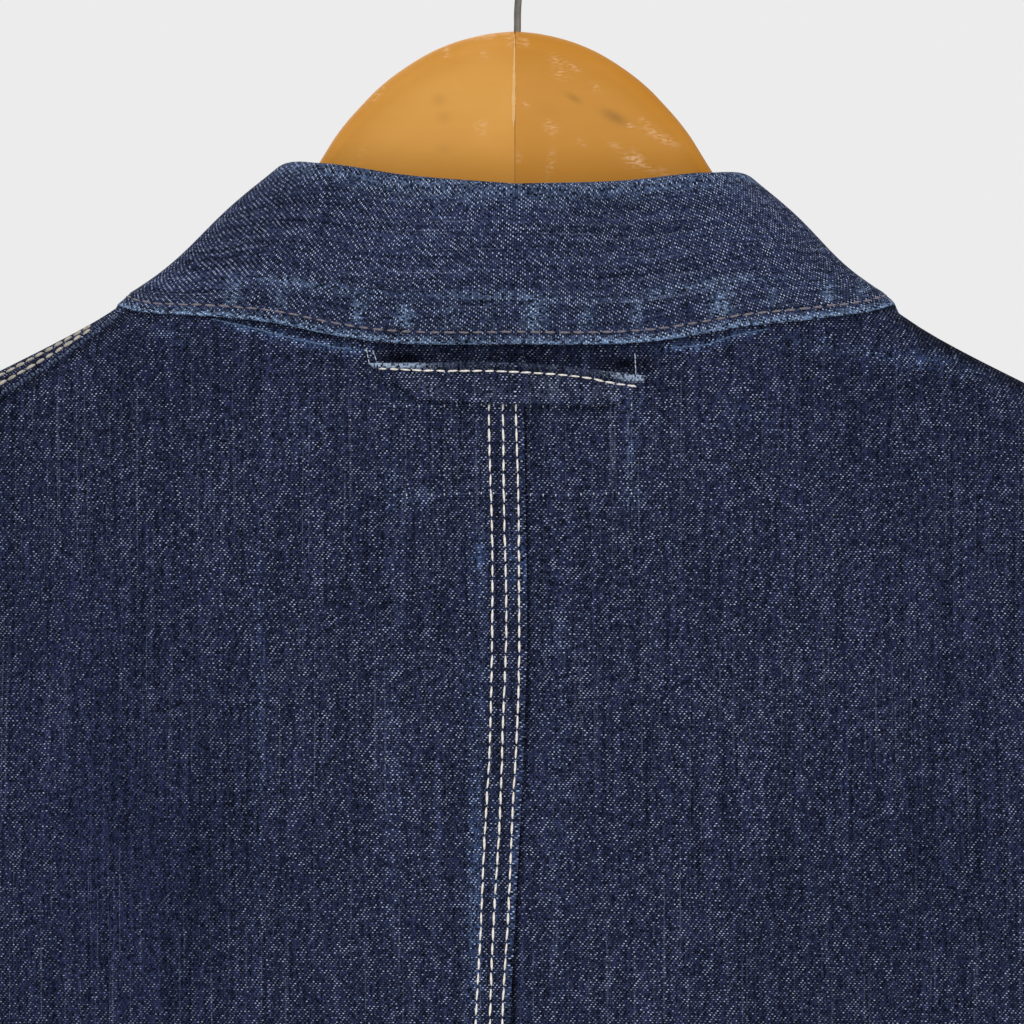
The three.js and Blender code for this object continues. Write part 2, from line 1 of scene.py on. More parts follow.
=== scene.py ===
"""An indigo denim work jacket, buttoned up and hung on a wooden hanger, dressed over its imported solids.

Sizes inside the classes are in millimetres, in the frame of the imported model: +Z up, the jacket's front
towards -Y, the origin at the inside top of the hook. "Left" and "right" are the wearer's, left is +X.
"""
import logging
import math
from dataclasses import dataclass, field
from enum import Enum
from functools import partial
from typing import Any, Callable

import bpy
import numpy as np
from bpy.types import Material, Mesh, Node, NodeSocket, NodeTree, Object
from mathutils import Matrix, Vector


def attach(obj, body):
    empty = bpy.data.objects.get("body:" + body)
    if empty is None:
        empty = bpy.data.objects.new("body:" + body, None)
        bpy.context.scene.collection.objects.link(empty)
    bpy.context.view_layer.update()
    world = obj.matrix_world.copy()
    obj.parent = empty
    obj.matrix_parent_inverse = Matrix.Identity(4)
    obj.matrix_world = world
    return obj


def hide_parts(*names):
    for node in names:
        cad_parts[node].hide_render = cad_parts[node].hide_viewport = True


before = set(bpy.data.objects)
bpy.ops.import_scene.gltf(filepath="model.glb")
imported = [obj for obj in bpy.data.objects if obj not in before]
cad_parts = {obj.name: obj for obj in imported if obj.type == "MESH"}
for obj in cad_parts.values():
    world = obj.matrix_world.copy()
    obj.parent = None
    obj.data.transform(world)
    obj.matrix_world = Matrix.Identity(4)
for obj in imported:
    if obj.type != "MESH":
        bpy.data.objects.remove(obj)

logging.basicConfig(level=logging.INFO, format="%(name)s: %(message)s")
LOG = logging.getLogger("jacket")

MM = 0.001
Array = np.ndarray


class Face(Enum):
    """The two faces of the jacket's body."""

    BACK = 1
    FRONT = -1


class Side(Enum):
    """The wearer's two sides."""

    LEFT = 1
    RIGHT = -1


class Held(Enum):
    """How a piece of cloth is held."""

    HUNG = "hung"
    FOLDED = "folded"


def smooth(t: Array) -> Array:
    """A soft step from 0 to 1."""
    t = np.clip(t, 0.0, 1.0)
    return t * t * (3.0 - 2.0 * t)


def lerp(a: Any, b: Any, t: Any) -> Any:
    """The value a share t of the way from a to b."""
    return a + (b - a) * t


def unit(v: Array) -> Array:
    """Directions of length 1."""
    return v / np.maximum(np.linalg.norm(v, axis=-1, keepdims=True), 1e-12)


def hill(x: Array, at: Any, width: Any) -> Array:
    """A soft hill of height 1 round a place."""
    return np.exp(-(((x - at) / width) ** 2))


def linear(colour: str) -> tuple[float, float, float, float]:
    """Turns an sRGB hex colour into linear light.

    Args:
        colour: Six hex digits after a number sign.

    Returns:
        Red, green, blue and an alpha of 1.
    """
    parts = [int(colour[i : i + 2], 16) / 255 for i in (1, 3, 5)]
    light = [c / 12.92 if c <= 0.04045 else ((c + 0.055) / 1.055) ** 2.4 for c in parts]
    return light[0], light[1], light[2], 1.0


class Through:
    """A smooth function through pairs of place and value, level beyond its ends."""

    def __init__(self, *pairs: tuple[float, float]) -> None:
        """Works out the slopes.

        Args:
            pairs: Place and value, in rising order of place.
        """
        self.at, self.value = np.array(pairs, float).T
        rise = np.diff(self.value) / np.diff(self.at)
        slope = np.concatenate([rise[:1], np.zeros(len(rise) - 1), rise[-1:]])
        product = rise[:-1] * rise[1:]
        total = np.where(product > 0, rise[:-1] + rise[1:], 1.0)
        slope[1:-1] = np.where(product > 0, 2 * product / total, 0.0)
        self.slope = slope

    def __call__(self, x: Any) -> Array:
        """Reads the function.

        Args:
            x: The places.

        Returns:
            One value for each.
        """
        x = np.asarray(x, float)
        i = np.clip(np.searchsorted(self.at, x, side="right") - 1, 0, len(self.at) - 2)
        h = self.at[i + 1] - self.at[i]
        t = np.clip((x - self.at[i]) / h, 0.0, 1.0)
        bend = self.value[i] - self.value[i + 1]
        a, b = h * self.slope[i], h * self.slope[i + 1]
        return self.value[i] + t * (a + t * (-3 * bend - 2 * a - b + t * (2 * bend + a + b)))


class Spline:
    """A curve through stations, read by the share of the stations passed."""

    def __init__(self, points: Any, even: bool = False) -> None:
        """Pads the stations at both ends.

        Args:
            points: The stations, in two or three dimensions.
            even: True where every span counts alike, False where a long span bends more gently.
        """
        p = np.array(points, float)
        ends = (p[:1], p[-1:]) if even else (2 * p[:1] - p[1:2], 2 * p[-1:] - p[-2:-1])
        self.points = np.concatenate([ends[0], p, ends[1]])
        self.even = even

    def __call__(self, t: Any) -> Array:
        """Reads the curve.

        Args:
            t: Shares of the stations passed, 0 to 1.

        Returns:
            One point for each.
        """
        last = len(self.points) - 3
        at = np.clip(np.asarray(t, float), 0.0, 1.0) * last
        i = np.minimum(at.astype(int), last - 1)
        w = (at - i)[..., None]
        p0, p1, p2, p3 = (self.points[i + k] for k in range(4))
        if self.even:
            m1, m2 = (p2 - p0) / 2, (p3 - p1) / 2
        else:
            spans = (p1 - p0, p2 - p1, p3 - p2)
            d0, d1, d2 = (np.sqrt(np.maximum(np.linalg.norm(s, axis=-1, keepdims=True), 1e-9)) for s in spans)
            m1 = ((p1 - p0) / d0 - (p2 - p0) / (d0 + d1) + (p2 - p1) / d1) * d1
            m2 = ((p2 - p1) / d1 - (p3 - p1) / (d1 + d2) + (p3 - p2) / d2) * d1
        return p1 + w * (m1 + w * (-3 * (p1 - p2) - 2 * m1 - m2 + w * (2 * (p1 - p2) + m1 + m2)))


def grid_normals(grid: Array, closed: bool = False) -> Array:
    """Directions square to a grid of points, which is closed where its columns run round a tube."""
    along = np.roll(grid, -1, 1) - np.roll(grid, 1, 1) if closed else np.gradient(grid, axis=1)
    return unit(np.cross(along, np.gradient(grid, axis=0)))


def grid_area(grid: Array, closed: bool = False) -> float:
    """The surface of a grid of points.

    Args:
        grid: Points by row and column.
        closed: True where the columns run round a tube.

    Returns:
        Square metres.
    """
    g = np.concatenate([grid, grid[:, :1]], 1) if closed else grid
    a, b, c, d = g[:-1, :-1], g[1:, :-1], g[1:, 1:], g[:-1, 1:]
    return float(np.linalg.norm(np.cross(c - a, d - b), axis=-1).sum() / 2) * MM * MM


def run_along(grid: Array, axis: int) -> Array:
    """Lengths along the columns (axis 0) or rows (axis 1) of a grid, from its first point."""
    first = np.take(grid, [0], axis)
    return np.cumsum(np.linalg.norm(np.diff(grid, axis=axis, prepend=first), axis=-1), axis)


def spots(x: Array, z: Array, marks: tuple) -> Array:
    """How strong soft marks are, from the place, level, half width, half height and strength of each."""
    return sum(much * hill(x, at, wide) * hill(z, level, tall) for at, level, wide, tall, much in marks)


def strokes(points: Array, marks: tuple) -> Array:
    """How strong slanting soft marks are.

    Args:
        points: Where.
        marks: For each its place across and up, half length, half width, direction in degrees, strength.

    Returns:
        One number for each point.
    """
    total = np.zeros(len(points))
    for x, z, length, width, degrees, much in marks:
        dx, dz = points[:, 0] - x, points[:, 2] - z
        cos, sin = math.cos(math.radians(degrees)), math.sin(math.radians(degrees))
        total += much * hill(dx * cos + dz * sin, 0, length) * hill(dz * cos - dx * sin, 0, width)
    return total


def tube(rings: Array, ends: Any = None) -> tuple[Array, list]:
    """Points and faces of a closed tube.

    Args:
        rings: Points by ring and place round it.
        ends: The middle points of the two ends, or None where each end is one face.

    Returns:
        The points, and rings of point numbers.
    """
    rows, columns = rings.shape[:2]
    ids = np.arange(rows * columns).reshape(rows, columns)
    ahead = np.roll(ids, -1, 1)
    faces = np.stack([ids[:-1], ahead[:-1], ahead[1:], ids[1:]], -1).reshape(-1, 4).tolist()
    points = rings.reshape(-1, 3)
    if ends is None:
        return points, faces + [ids[0, ::-1].tolist(), ids[-1].tolist()]
    for k in range(columns):
        faces += [[ahead[0, k], ids[0, k], ids.size], [ids[-1, k], ahead[-1, k], ids.size + 1]]
    return np.concatenate([points, ends]), faces


def link(name: str, data: Any, material: Material | None = None) -> Object:
    """Puts a mesh, a lamp or a camera into the scene.

    Args:
        name: The object's name.
        data: What it holds.
        material: A mesh's finish, where it has one.

    Returns:
        The object.
    """
    thing = bpy.data.objects.new(name, data)
    bpy.context.scene.collection.objects.link(thing)
    if material is not None:
        data.materials.append(material)
    return thing


def make_mesh(name: str, points: Array, faces: list, uv: Array | None = None,
        marks: dict[str, Array] | None = None) -> Mesh:
    """Makes a smooth mesh whose faces point outwards.

    Args:
        name: The mesh's name.
        points: Points in millimetres.
        faces: Rings of point numbers.
        uv: One place in the cloth for each corner of each face, in metres.
        marks: Numbers that each point carries for the finish.

    Returns:
        The mesh, in metres.
    """
    points = np.asarray(points, float) * MM
    ring = np.array([f[:3] for f in faces])
    a, b, c = (points[ring[:, k]] for k in range(3))
    tri = np.einsum("ij,ij->i", a, np.cross(b, c)).sum()
    quads = [f for f in faces if len(f) == 4]
    if quads:
        q = np.array(quads)
        tri += np.einsum("ij,ij->i", points[q[:, 0]], np.cross(points[q[:, 2]], points[q[:, 3]])).sum()
    if tri < 0:
        faces = [f[::-1] for f in faces]
        if uv is not None:
            start = np.cumsum([0] + [len(f) for f in faces])
            uv = np.concatenate([uv[s:e][::-1] for s, e in zip(start[:-1], start[1:])])
    mesh = bpy.data.meshes.new(name)
    mesh.from_pydata(points.tolist(), [], [list(map(int, f)) for f in faces])
    mesh.polygons.foreach_set("use_smooth", np.ones(len(faces), bool))
    if uv is not None:
        layer = mesh.uv_layers.new(name="cut")
        layer.data.foreach_set("uv", np.asarray(uv, np.float32).ravel())
    for word, values in (marks or {}).items():
        mesh.attributes.new(word, "FLOAT", "POINT").data.foreach_set("value",
            np.asarray(values, np.float32).ravel())
    mesh.set_sharp_from_angle(angle=math.radians(50))
    mesh.update()
    return mesh


@dataclass
class Wall:
    """A thin closed wall of cloth between an outer and an inner grid of points.

    Attributes:
        outer: Outer points by row and column.
        inner: Inner points by row and column.
        cut: Places in the flat cloth, in millimetres; a tube has one more column.
        marks: Numbers for the finish by row and column, such as wear.
        closed: True where the columns run round a tube.
        rim: Rows of points round the free edge, 0 for a square edge.
    """

    outer: Array
    inner: Array
    cut: Array
    marks: dict[str, Array] = field(default_factory=dict)
    closed: bool = False
    rim: int = 0

    def mesh(self, name: str) -> Mesh:
        """Makes the wall's mesh.

        Args:
            name: The mesh's name.

        Returns:
            A closed mesh with its flat cut as UV, its marks, and the mark "inside" on the inner wall.
        """
        rows, columns = self.outer.shape[:2]
        count = rows * columns
        spans = columns if self.closed else columns - 1
        r, c = np.meshgrid(np.arange(rows - 1), np.arange(spans), indexing="ij")
        r, c = r.ravel(), c.ravel()
        corner_rc = [(r, c), (r + 1, c), (r + 1, c + 1), (r, c + 1)]
        ids = np.stack([i * columns + j % columns for i, j in corner_rc], 1)
        flat = np.stack([self.cut[i, j] for i, j in corner_rc], 1)
        faces = [ids, ids[:, ::-1] + count]
        uvs = [flat, flat[:, ::-1]]
        extra, extra_uv = [], []
        for path in self._edges():
            rim_points, rim_faces, rim_uv = self._rim(path, 2 * count + sum(len(e) for e in extra))
            extra.append(rim_points)
            faces.append(rim_faces)
            uvs.append(rim_uv)
            extra_uv.append(path)
        points = np.concatenate([self.outer.reshape(-1, 3), self.inner.reshape(-1, 3), *extra])
        marks = {}
        for word, values in self.marks.items():
            rims = [np.repeat(values[p[:, 0], p[:, 1] % columns], self.rim) for p in extra_uv]
            marks[word] = np.concatenate([values.ravel(), values.ravel(), *rims])
        rims = [np.zeros(len(e)) for e in extra]
        marks["inside"] = np.concatenate([np.zeros(count), np.ones(count), *rims])
        uv = np.concatenate(uvs).reshape(-1, 2) * MM
        return make_mesh(name, points, np.concatenate(faces).tolist(), uv, marks)

    def _edges(self) -> list[Array]:
        """Follows the free edges.

        Returns:
            Rows and columns of the points along each edge, as closed loops.
        """
        rows, columns = self.outer.shape[:2]
        down, across = np.arange(rows), np.arange(columns)
        if self.closed:
            return [np.stack([np.zeros(columns, int), across], 1),
                np.stack([np.full(columns, rows - 1), across[::-1]], 1)]
        loop = [(0, c) for c in across] + [(r, columns - 1) for r in down[1:]]
        loop += [(rows - 1, c) for c in across[-2::-1]] + [(r, 0) for r in down[-2:0:-1]]
        return [np.array(loop)]

    def _rim(self, path: Array, start: int) -> tuple[Array, Array, Array]:
        """Rounds or squares off one free edge.

        Args:
            path: Rows and columns along the edge.
            start: The first free point number.

        Returns:
            New points, faces and the faces' places in the cut.
        """
        rows, columns = self.outer.shape[:2]
        count = rows * columns
        n = len(path)
        r, c = path[:, 0], path[:, 1] % columns
        top, low = self.outer[r, c], self.inner[r, c]
        middle, half = (top + low) / 2, (top - low) / 2
        inward = self.outer[np.clip(r, 1, rows - 2), c if self.closed else np.clip(c, 1, columns - 2)] - top
        away = unit(-inward) * np.linalg.norm(half, axis=1, keepdims=True)
        new = []
        for k in range(1, self.rim + 1):
            turn = math.pi * k / (self.rim + 1)
            new.append(middle + half * math.cos(turn) + away * math.sin(turn))
        lines = [r * columns + c]
        lines += [start + np.arange(n) * self.rim + k for k in range(self.rim)]
        lines += [r * columns + c + count]
        faces, uvs = [], []
        ahead = np.roll(np.arange(n), -1)
        flat = self.cut[r, path[:, 1]]
        back = self.cut[np.clip(r, 1, rows - 2), path[:, 1] if self.closed
            else np.clip(path[:, 1], 1, columns - 2)]
        onward = unit(flat - back) * np.linalg.norm(half, axis=1, keepdims=True) * math.pi / (self.rim + 1)
        for k, (a, b) in enumerate(zip(lines[:-1], lines[1:])):
            near, far = flat + onward * k, flat + onward * (k + 1)
            faces.append(np.stack([a, a[ahead], b[ahead], b], 1))
            uvs.append(np.stack([near, near[ahead], far[ahead], far], 1))
        points = np.stack(new, 1).reshape(-1, 3) if new else np.zeros((0, 3))
        return points, np.concatenate(faces), np.concatenate(uvs)


def plug(node: Node, inputs: Any) -> Node:
    """Fills a node's sockets.

    Args:
        node: The node.
        inputs: What goes in, in the sockets' order or by name or number: a value, another node's output, or
            another node for its first output.

    Returns:
        The node.
    """
    for word, value in inputs.items() if isinstance(inputs, dict) else enumerate(inputs):
        if isinstance(value, Node):
            value = value.outputs[0]
        if isinstance(value, NodeSocket):
            node.id_data.links.new(value, node.inputs[word])
        else:
            node.inputs[word].default_value = value
    return node


def add_node(tree: NodeTree, family: str, kind: str, inputs: Any = (), **settings: Any) -> Node:
    """Adds a node with its settings and links.

    Args:
        tree: The tree that takes the node.
        family: How the type starts, where a tree's nodes have it in common.
        kind: The rest of the type.
        inputs: What goes into its sockets.
        settings: Values of the node's own properties.

    Returns:
        The node.
    """
    node = tree.nodes.new(family + kind)
    for word, value in settings.items():
        setattr(node, word, value)
    return plug(node, inputs)


def new_material(name: str, colour: str) -> tuple[Material, Callable, Node]:
    """Starts a material.

    Args:
        name: The material's name.
        colour: Its colour in plain views, sRGB hex.

    Returns:
        The material, what adds a node to it, and its shader.
    """
    material = bpy.data.materials.new(name)
    material.use_nodes = True
    material.diffuse_color = linear(colour)
    material.node_tree.nodes.clear()
    add = partial(add_node, material.node_tree, "ShaderNode")
    shader = add("BsdfPrincipled", {"Base Color": linear(colour)})
    add("OutputMaterial", {"Surface": shader})
    return material, add, shader


@dataclass(frozen=True)
class IndigoDenim:
    """Raw-dyed cotton denim, a warp-faced twill: dark indigo ends with a pale weft dot on every third end.

    The eye gets a near-black blue with rows of fine pale sparks, slubs along the warp, and a softer light
    blue wherever edges and ridges have rubbed through the dye.

    Attributes:
        name: The material's name.
        warp: The dyed ends, deepest colour.
        streak: The dyed ends where a slub has taken less dye.
        faded: The ends rubbed through to light blue.
        weft: The undyed pick that shows as dots.
        rubbed_weft: The same pick where the cloth is rubbed.
        wrong_side: The cloth's inner face, where the weft lies on top.
        dots: Strength of the dots.
        speckle: How unevenly the rubbing takes the dye off from yarn to yarn, 0 to 1.
        step: Ends that the dots move along from pick to pick; on cloth pulled off true, more than one.
        end: Spacing of the ends, mm.
        pick: Spacing of the picks, mm.
        slub_width: Width of the broad slub streaks, mm.
        slub_length: Their length, mm.
        line: How strongly single thin ends show as fine bright lines.
    """

    name: str = "indigo_denim"
    warp: str = "#0c1223"
    streak: str = "#212642"
    faded: str = "#4c6698"
    weft: str = "#b1bdd7"
    rubbed_weft: str = "#a9c6e6"
    wrong_side: str = "#7f8aa0"
    dots: float = 1.3
    speckle: float = 0.3
    step: float = 1.2
    end: float = 0.385
    pick: float = 0.605
    slub_width: float = 1.1
    slub_length: float = 60.0
    line: float = 0.5

    def material(self) -> Material:
        """Builds the weave from the cloth's own cut, so it follows every fold.

        Returns:
            The material.
        """
        material, add, shader = new_material(self.name, self.streak)
        cut = add("UVMap", uv_map="cut")
        wear, shade, flat, inside = (add("Attribute", attribute_name=word).outputs["Fac"]
            for word in ("wear", "shade", "flat", "inside"))
        slub = self._slubs(add, cut)
        ends, picks, grain = self._yarns(add, cut)
        # Rubbing takes the dye off the raised yarns first, so wear breaks up yarn by yarn and in clouds.
        cloud = add("TexNoise", {"Vector": cut, "Scale": 1 / (1.8 * MM), "Detail": 3.0})
        rub = add("Math", (cloud, 2.0, -1.0 - 0.7 * self.speckle), operation="MULTIPLY_ADD")
        rub = add("Math", (grain, 0.8 + 1.4 * self.speckle, rub), operation="MULTIPLY_ADD")
        rub = add("Math", (rub, wear), operation="MULTIPLY", use_clamp=True)
        thin = add("Math", (slub, 0.6), operation="ADD")
        worn = add("Math", (rub, thin), operation="MULTIPLY", use_clamp=True)
        dyed = add("Mix", {0: slub, 6: linear(self.warp), 7: linear(self.streak)},
            data_type="RGBA").outputs[2]
        uneven = add("Math", (grain, 1.6, 0.15), operation="MULTIPLY_ADD")
        dyed = add("VectorMath", {0: dyed, "Scale": uneven}, operation="SCALE")
        pale = add("Math", (worn, 0.72), operation="MULTIPLY")
        colour = add("Mix", {0: pale, 6: dyed, 7: linear(self.faded)}, data_type="RGBA").outputs[2]
        dot = self._dots(add, ends, picks)
        # Slubs and rubbed places show more of the weft; cloth that has been wetted and pressed shows less.
        strong = add("Math", (slub, 0.9, 0.6), operation="MULTIPLY_ADD")
        strong = add("Math", (worn, 3.6, strong), operation="MULTIPLY_ADD")
        plain = add("Math", (1.0, flat), operation="SUBTRACT")
        strong = add("Math", (strong, plain), operation="MULTIPLY")
        dot = add("Math", (dot, strong), operation="MULTIPLY")
        dot = add("Math", (grain, self._thin_ends(add, cut, picks), dot), operation="MULTIPLY_ADD",
            use_clamp=True)
        thread = add("Mix", {0: pale, 6: linear(self.weft), 7: linear(self.rubbed_weft)},
            data_type="RGBA").outputs[2]
        colour = add("Mix", {0: dot, 6: colour, 7: thread}, data_type="RGBA").outputs[2]
        back = add("Math", (inside, 0.45), operation="MULTIPLY")
        colour = add("Mix", {0: back, 6: colour, 7: linear(self.wrong_side)}, data_type="RGBA").outputs[2]
        # The mark "shade" deepens or thins the dye, and also carries painted shade and painted light.
        depth = add("Math", (shade, 1.0), operation="ADD")
        toned = add("VectorMath", {0: colour, "Scale": depth}, operation="SCALE")
        height = add("Math", (dot, grain), operation="ADD")
        bump = add("Bump", {"Strength": 0.2, "Distance": 0.1 * MM, "Height": height})
        plug(shader, {"Base Color": toned, "Normal": bump, "Roughness": 0.95, "Specular IOR Level": 0.03})
        return material

    def _yarns(self, add: Callable, cut: Node) -> tuple[Node, NodeSocket, Node]:
        """Counts the yarns.

        Args:
            add: Adds a node to the material.
            cut: Places in the flat cloth.

        Returns:
            Ends counted across, picks counted up, and a number from 0 to 1 for each crossing.
        """
        # The yarn is uneven: ends and picks wander by a millimetre or so over a centimetre or two.
        wander = add("TexNoise", {"Vector": cut, "Scale": 1 / (14 * MM), "Detail": 4.0})
        bent = add("VectorMath", (wander.outputs["Color"], (1.7 * MM, 2.3 * MM, 0), cut),
            operation="MULTIPLY_ADD")
        scaled = add("VectorMath", (bent, (1 / (self.end * MM), 1 / (self.pick * MM), 0)),
            operation="MULTIPLY")
        split = add("SeparateXYZ", (scaled,))
        crossing = add("VectorMath", (scaled,), operation="FLOOR")
        grain = add("TexWhiteNoise", {"Vector": crossing}, noise_dimensions="2D")
        return split, split.outputs[1], grain

    def _dots(self, add: Callable, ends: Node, picks: NodeSocket) -> Node:
        """Draws the weft dots of the twill.

        Args:
            add: Adds a node to the material.
            ends: Ends counted across.
            picks: Picks counted up.

        Returns:
            How much of the weft shows.
        """
        row = add("Math", (picks,), operation="FLOOR")
        slid = add("Math", (row, -self.step, ends), operation="MULTIPLY_ADD")
        third = add("Math", (slid, 3.0), operation="DIVIDE")
        cell = add("Math", (third,), operation="FLOOR")
        place = add("CombineXYZ", (cell, row))
        chance = add("TexWhiteNoise", {"Vector": place}, noise_dimensions="2D")
        across = add("Math", (third,), operation="FRACT")
        across = add("Math", (across, 3.5, -1.75), operation="MULTIPLY_ADD")
        down = add("Math", (picks,), operation="FRACT")
        down = add("Math", (down, 3.0, -1.5), operation="MULTIPLY_ADD")
        off = add("CombineXYZ", (across, down))
        far = add("VectorMath", (off,), operation="LENGTH").outputs["Value"]
        spot = add("MapRange", (far, 0.3, 1.0, 1.0, 0.0), interpolation_type="SMOOTHSTEP")
        # Dots differ one by one, and stand out in small clumps where the weft is thicker.
        bright = add("Math", (chance, 2.4), operation="POWER")
        near = add("VectorMath", (place, (0.45, 0.16, 0)), operation="MULTIPLY")
        clump = add("TexNoise", {"Vector": near, "Scale": 1.0, "Detail": 1.0})
        even = add("MapRange", (clump, 0.3, 0.7, 0.35, 1.65))
        bright = add("Math", (bright, 0.66, 0.03), operation="MULTIPLY_ADD")
        bright = add("Math", (bright, even), operation="MULTIPLY")
        bright = add("Math", (bright, self.dots), operation="MULTIPLY")
        return add("Math", (spot, bright), operation="MULTIPLY")

    def _slubs(self, add: Callable, cut: Node) -> Node:
        """Draws the uneven dye of the ends, in streaks along the warp.

        Args:
            add: Adds a node to the material.
            cut: Places in the flat cloth.

        Returns:
            How little dye the ends have taken, 0 to 1.
        """
        total: Any = 0.45
        for width, length, weight in ((self.slub_width, self.slub_length, 1.55), (0.6, 9.0, 1.0),
                (4.0, 90.0, 0.55), (24.0, 60.0, 0.3)):
            narrow = add("Mapping", {"Vector": cut, "Scale": (1 / (width * MM), 1 / (length * MM), 1)},
                vector_type="POINT")
            noise = add("TexNoise", {"Vector": narrow, "Scale": 1.0, "Detail": 2.0})
            even = add("Math", (noise, 0.5), operation="SUBTRACT")
            total = add("Math", (even, weight, total), operation="MULTIPLY_ADD")
        return add("Clamp", (total,))

    def _thin_ends(self, add: Callable, cut: Node, picks: NodeSocket) -> Node:
        """Draws the few single thin ends that let every pick through, as a fine dotted line.

        Args:
            add: Adds a node to the material.
            cut: Places in the flat cloth.
            picks: Picks counted up.

        Returns:
            How much more of the weft shows.
        """
        scale = (1 / (0.55 * MM), 1 / (70 * MM), 1)
        narrow = add("Mapping", {"Vector": cut, "Scale": scale}, vector_type="POINT")
        noise = add("TexNoise", {"Vector": narrow, "Scale": 1.0, "Detail": 1.0})
        thin = add("MapRange", (noise, 0.63, 0.74, 0.0, self.line))
        pick = add("Math", (picks, 0.5), operation="PINGPONG")
        return add("Math", (thin, pick), operation="MULTIPLY")


@dataclass(frozen=True)
class CottonThread:
    """Twisted cotton sewing thread: matt, with painted shade in the twist between its two plies, as slanting
    dark bands.

    Attributes:
        name: The material's name.
        light: The colour on top of a ply.
        dark: The colour of the painted shade in the twist.
    """

    name: str
    light: str
    dark: str

    def material(self) -> Material:
        """Builds the thread's finish.

        Returns:
            The material.
        """
        material, add, shader = new_material(self.name, self.light)
        where = add("TexCoord").outputs["Object"]
        # Painted shade: slanting dark bands stand for the shade in the twist between the plies.
        twist = add("TexWave", {"Vector": where, "Scale": 1 / (2.2 * MM), "Distortion": 2.0, "Detail": 1.0},
            bands_direction="DIAGONAL")
        spotty = add("TexNoise", {"Vector": where, "Scale": 1 / (3.0 * MM), "Detail": 2.0})
        share = add("Math", (twist.outputs["Fac"], spotty), operation="MULTIPLY")
        mix = add("Mix", {0: share, 6: linear(self.light), 7: linear(self.dark)}, data_type="RGBA")
        plug(shader, {"Base Color": mix.outputs[2], "Roughness": 0.8, "Specular IOR Level": 0.25})
        return material


@dataclass(frozen=True)
class VarnishedBeech:
    """Beech under an old amber varnish: a warm even brown, a trace of grain, deeper at the edges, half matt.

    Attributes:
        name: The material's name.
        left: The colour of the left half, painted lighter than the right as painted light.
        right: The colour of the right half, painted darker as painted shade.
        deep: The deeper colour of the stained grain and edges, also laid on as painted shade towards the
            board's bottom and on the right half.
        grime: Hand grime in soft smudges.
        bare: The wood where the varnish is scuffed through.
        grain: Width of the grain, mm.
        fleck: Length of the beech flecks, mm.
    """

    name: str = "varnished_beech"
    left: str = "#cd954a"
    right: str = "#bf873e"
    deep: str = "#ab6f17"
    grime: str = "#7a5a32"
    bare: str = "#e0b48a"
    grain: float = 1.6
    fleck: float = 22.0

    def material(self) -> Material:
        """Builds the varnished wood on the board's own place.

        Returns:
            The material.
        """
        material, add, shader = new_material(self.name, self.left)
        where = add("TexCoord").outputs["Object"]
        half = add("SeparateXYZ", (where,))
        # Painted light and shade: the left half gets the lighter colour and the right half the darker one.
        side = add("Math", (half, 0.0), operation="GREATER_THAN")
        base = add("Mix", {0: side, 6: linear(self.right), 7: linear(self.left)}, data_type="RGBA")
        turned = add("Mapping", {"Vector": where, "Rotation": (0, math.radians(14), 0),
            "Scale": (1 / (self.fleck * MM), 1 / (self.grain * MM), 1 / (self.grain * MM))})
        grain = add("TexNoise", {"Vector": turned, "Scale": 1.0, "Detail": 4.0})
        cloud = add("TexNoise", {"Vector": where, "Scale": 1 / (24 * MM), "Detail": 3.0})
        fine = add("MapRange", (grain, 0.35, 0.7, 0.0, 0.05))
        soft = add("MapRange", (cloud, 0.35, 0.7, 0.0, 0.16))
        # The first mark darkens the upper edge, and carries painted shade towards the bottom and on the right
        # half.
        stain_and_shade, grime, scuff = (add("Attribute", attribute_name=word).outputs["Fac"]
            for word in ("stain_and_shade", "grime", "scuff"))
        deep = add("Math", (stain_and_shade, fine), operation="ADD")
        deep = add("Math", (deep, soft), operation="ADD", use_clamp=True)
        colour = add("Mix", {0: deep, 6: base.outputs[2], 7: linear(self.deep)}, data_type="RGBA").outputs[2]
        colour = add("Mix", {0: grime, 6: colour, 7: linear(self.grime)}, data_type="RGBA").outputs[2]
        # Scuffs are bundles of short scratches, so fine slanting noise breaks each one up.
        slanted = add("Mapping", {"Vector": where, "Rotation": (0, math.radians(25), 0),
            "Scale": (1 / (1.9 * MM), 1 / (1.9 * MM), 1 / (0.6 * MM))})
        scratch = add("TexNoise", {"Vector": slanted, "Scale": 1.0, "Detail": 2.0})
        scratch = add("MapRange", (scratch, 0.44, 0.62, 0.0, 0.75))
        bare = add("Math", (scratch, scuff), operation="MULTIPLY", use_clamp=True)
        colour = add("Mix", {0: bare, 6: colour, 7: linear(self.bare)}, data_type="RGBA").outputs[2]
        rough = add("MapRange", {0: cloud, 3: 0.5, 4: 0.7})
        plug(shader, {"Base Color": colour, "Roughness": rough, "Specular IOR Level": 0.1})
        return material


@dataclass(frozen=True)
class WoodGlue:
    """Old wood glue, matt and a little mottled: a pale skin where it was squeezed out, darker in the joint.

    Attributes:
        name: The material's name.
        colour: The glue's colour.
        fade: The colour it breaks up into.
    """

    name: str
    colour: str
    fade: str

    def material(self) -> Material:
        """Builds the glue.

        Returns:
            The material.
        """
        material, add, shader = new_material(self.name, self.colour)
        where = add("TexCoord").outputs["Object"]
        noise = add("TexNoise", {"Vector": where, "Scale": 1 / (1.4 * MM), "Detail": 3.0})
        mix = add("Mix", {0: noise, 6: linear(self.colour), 7: linear(self.fade)}, data_type="RGBA")
        plug(shader, {"Base Color": mix.outputs[2], "Roughness": 0.75})
        return material


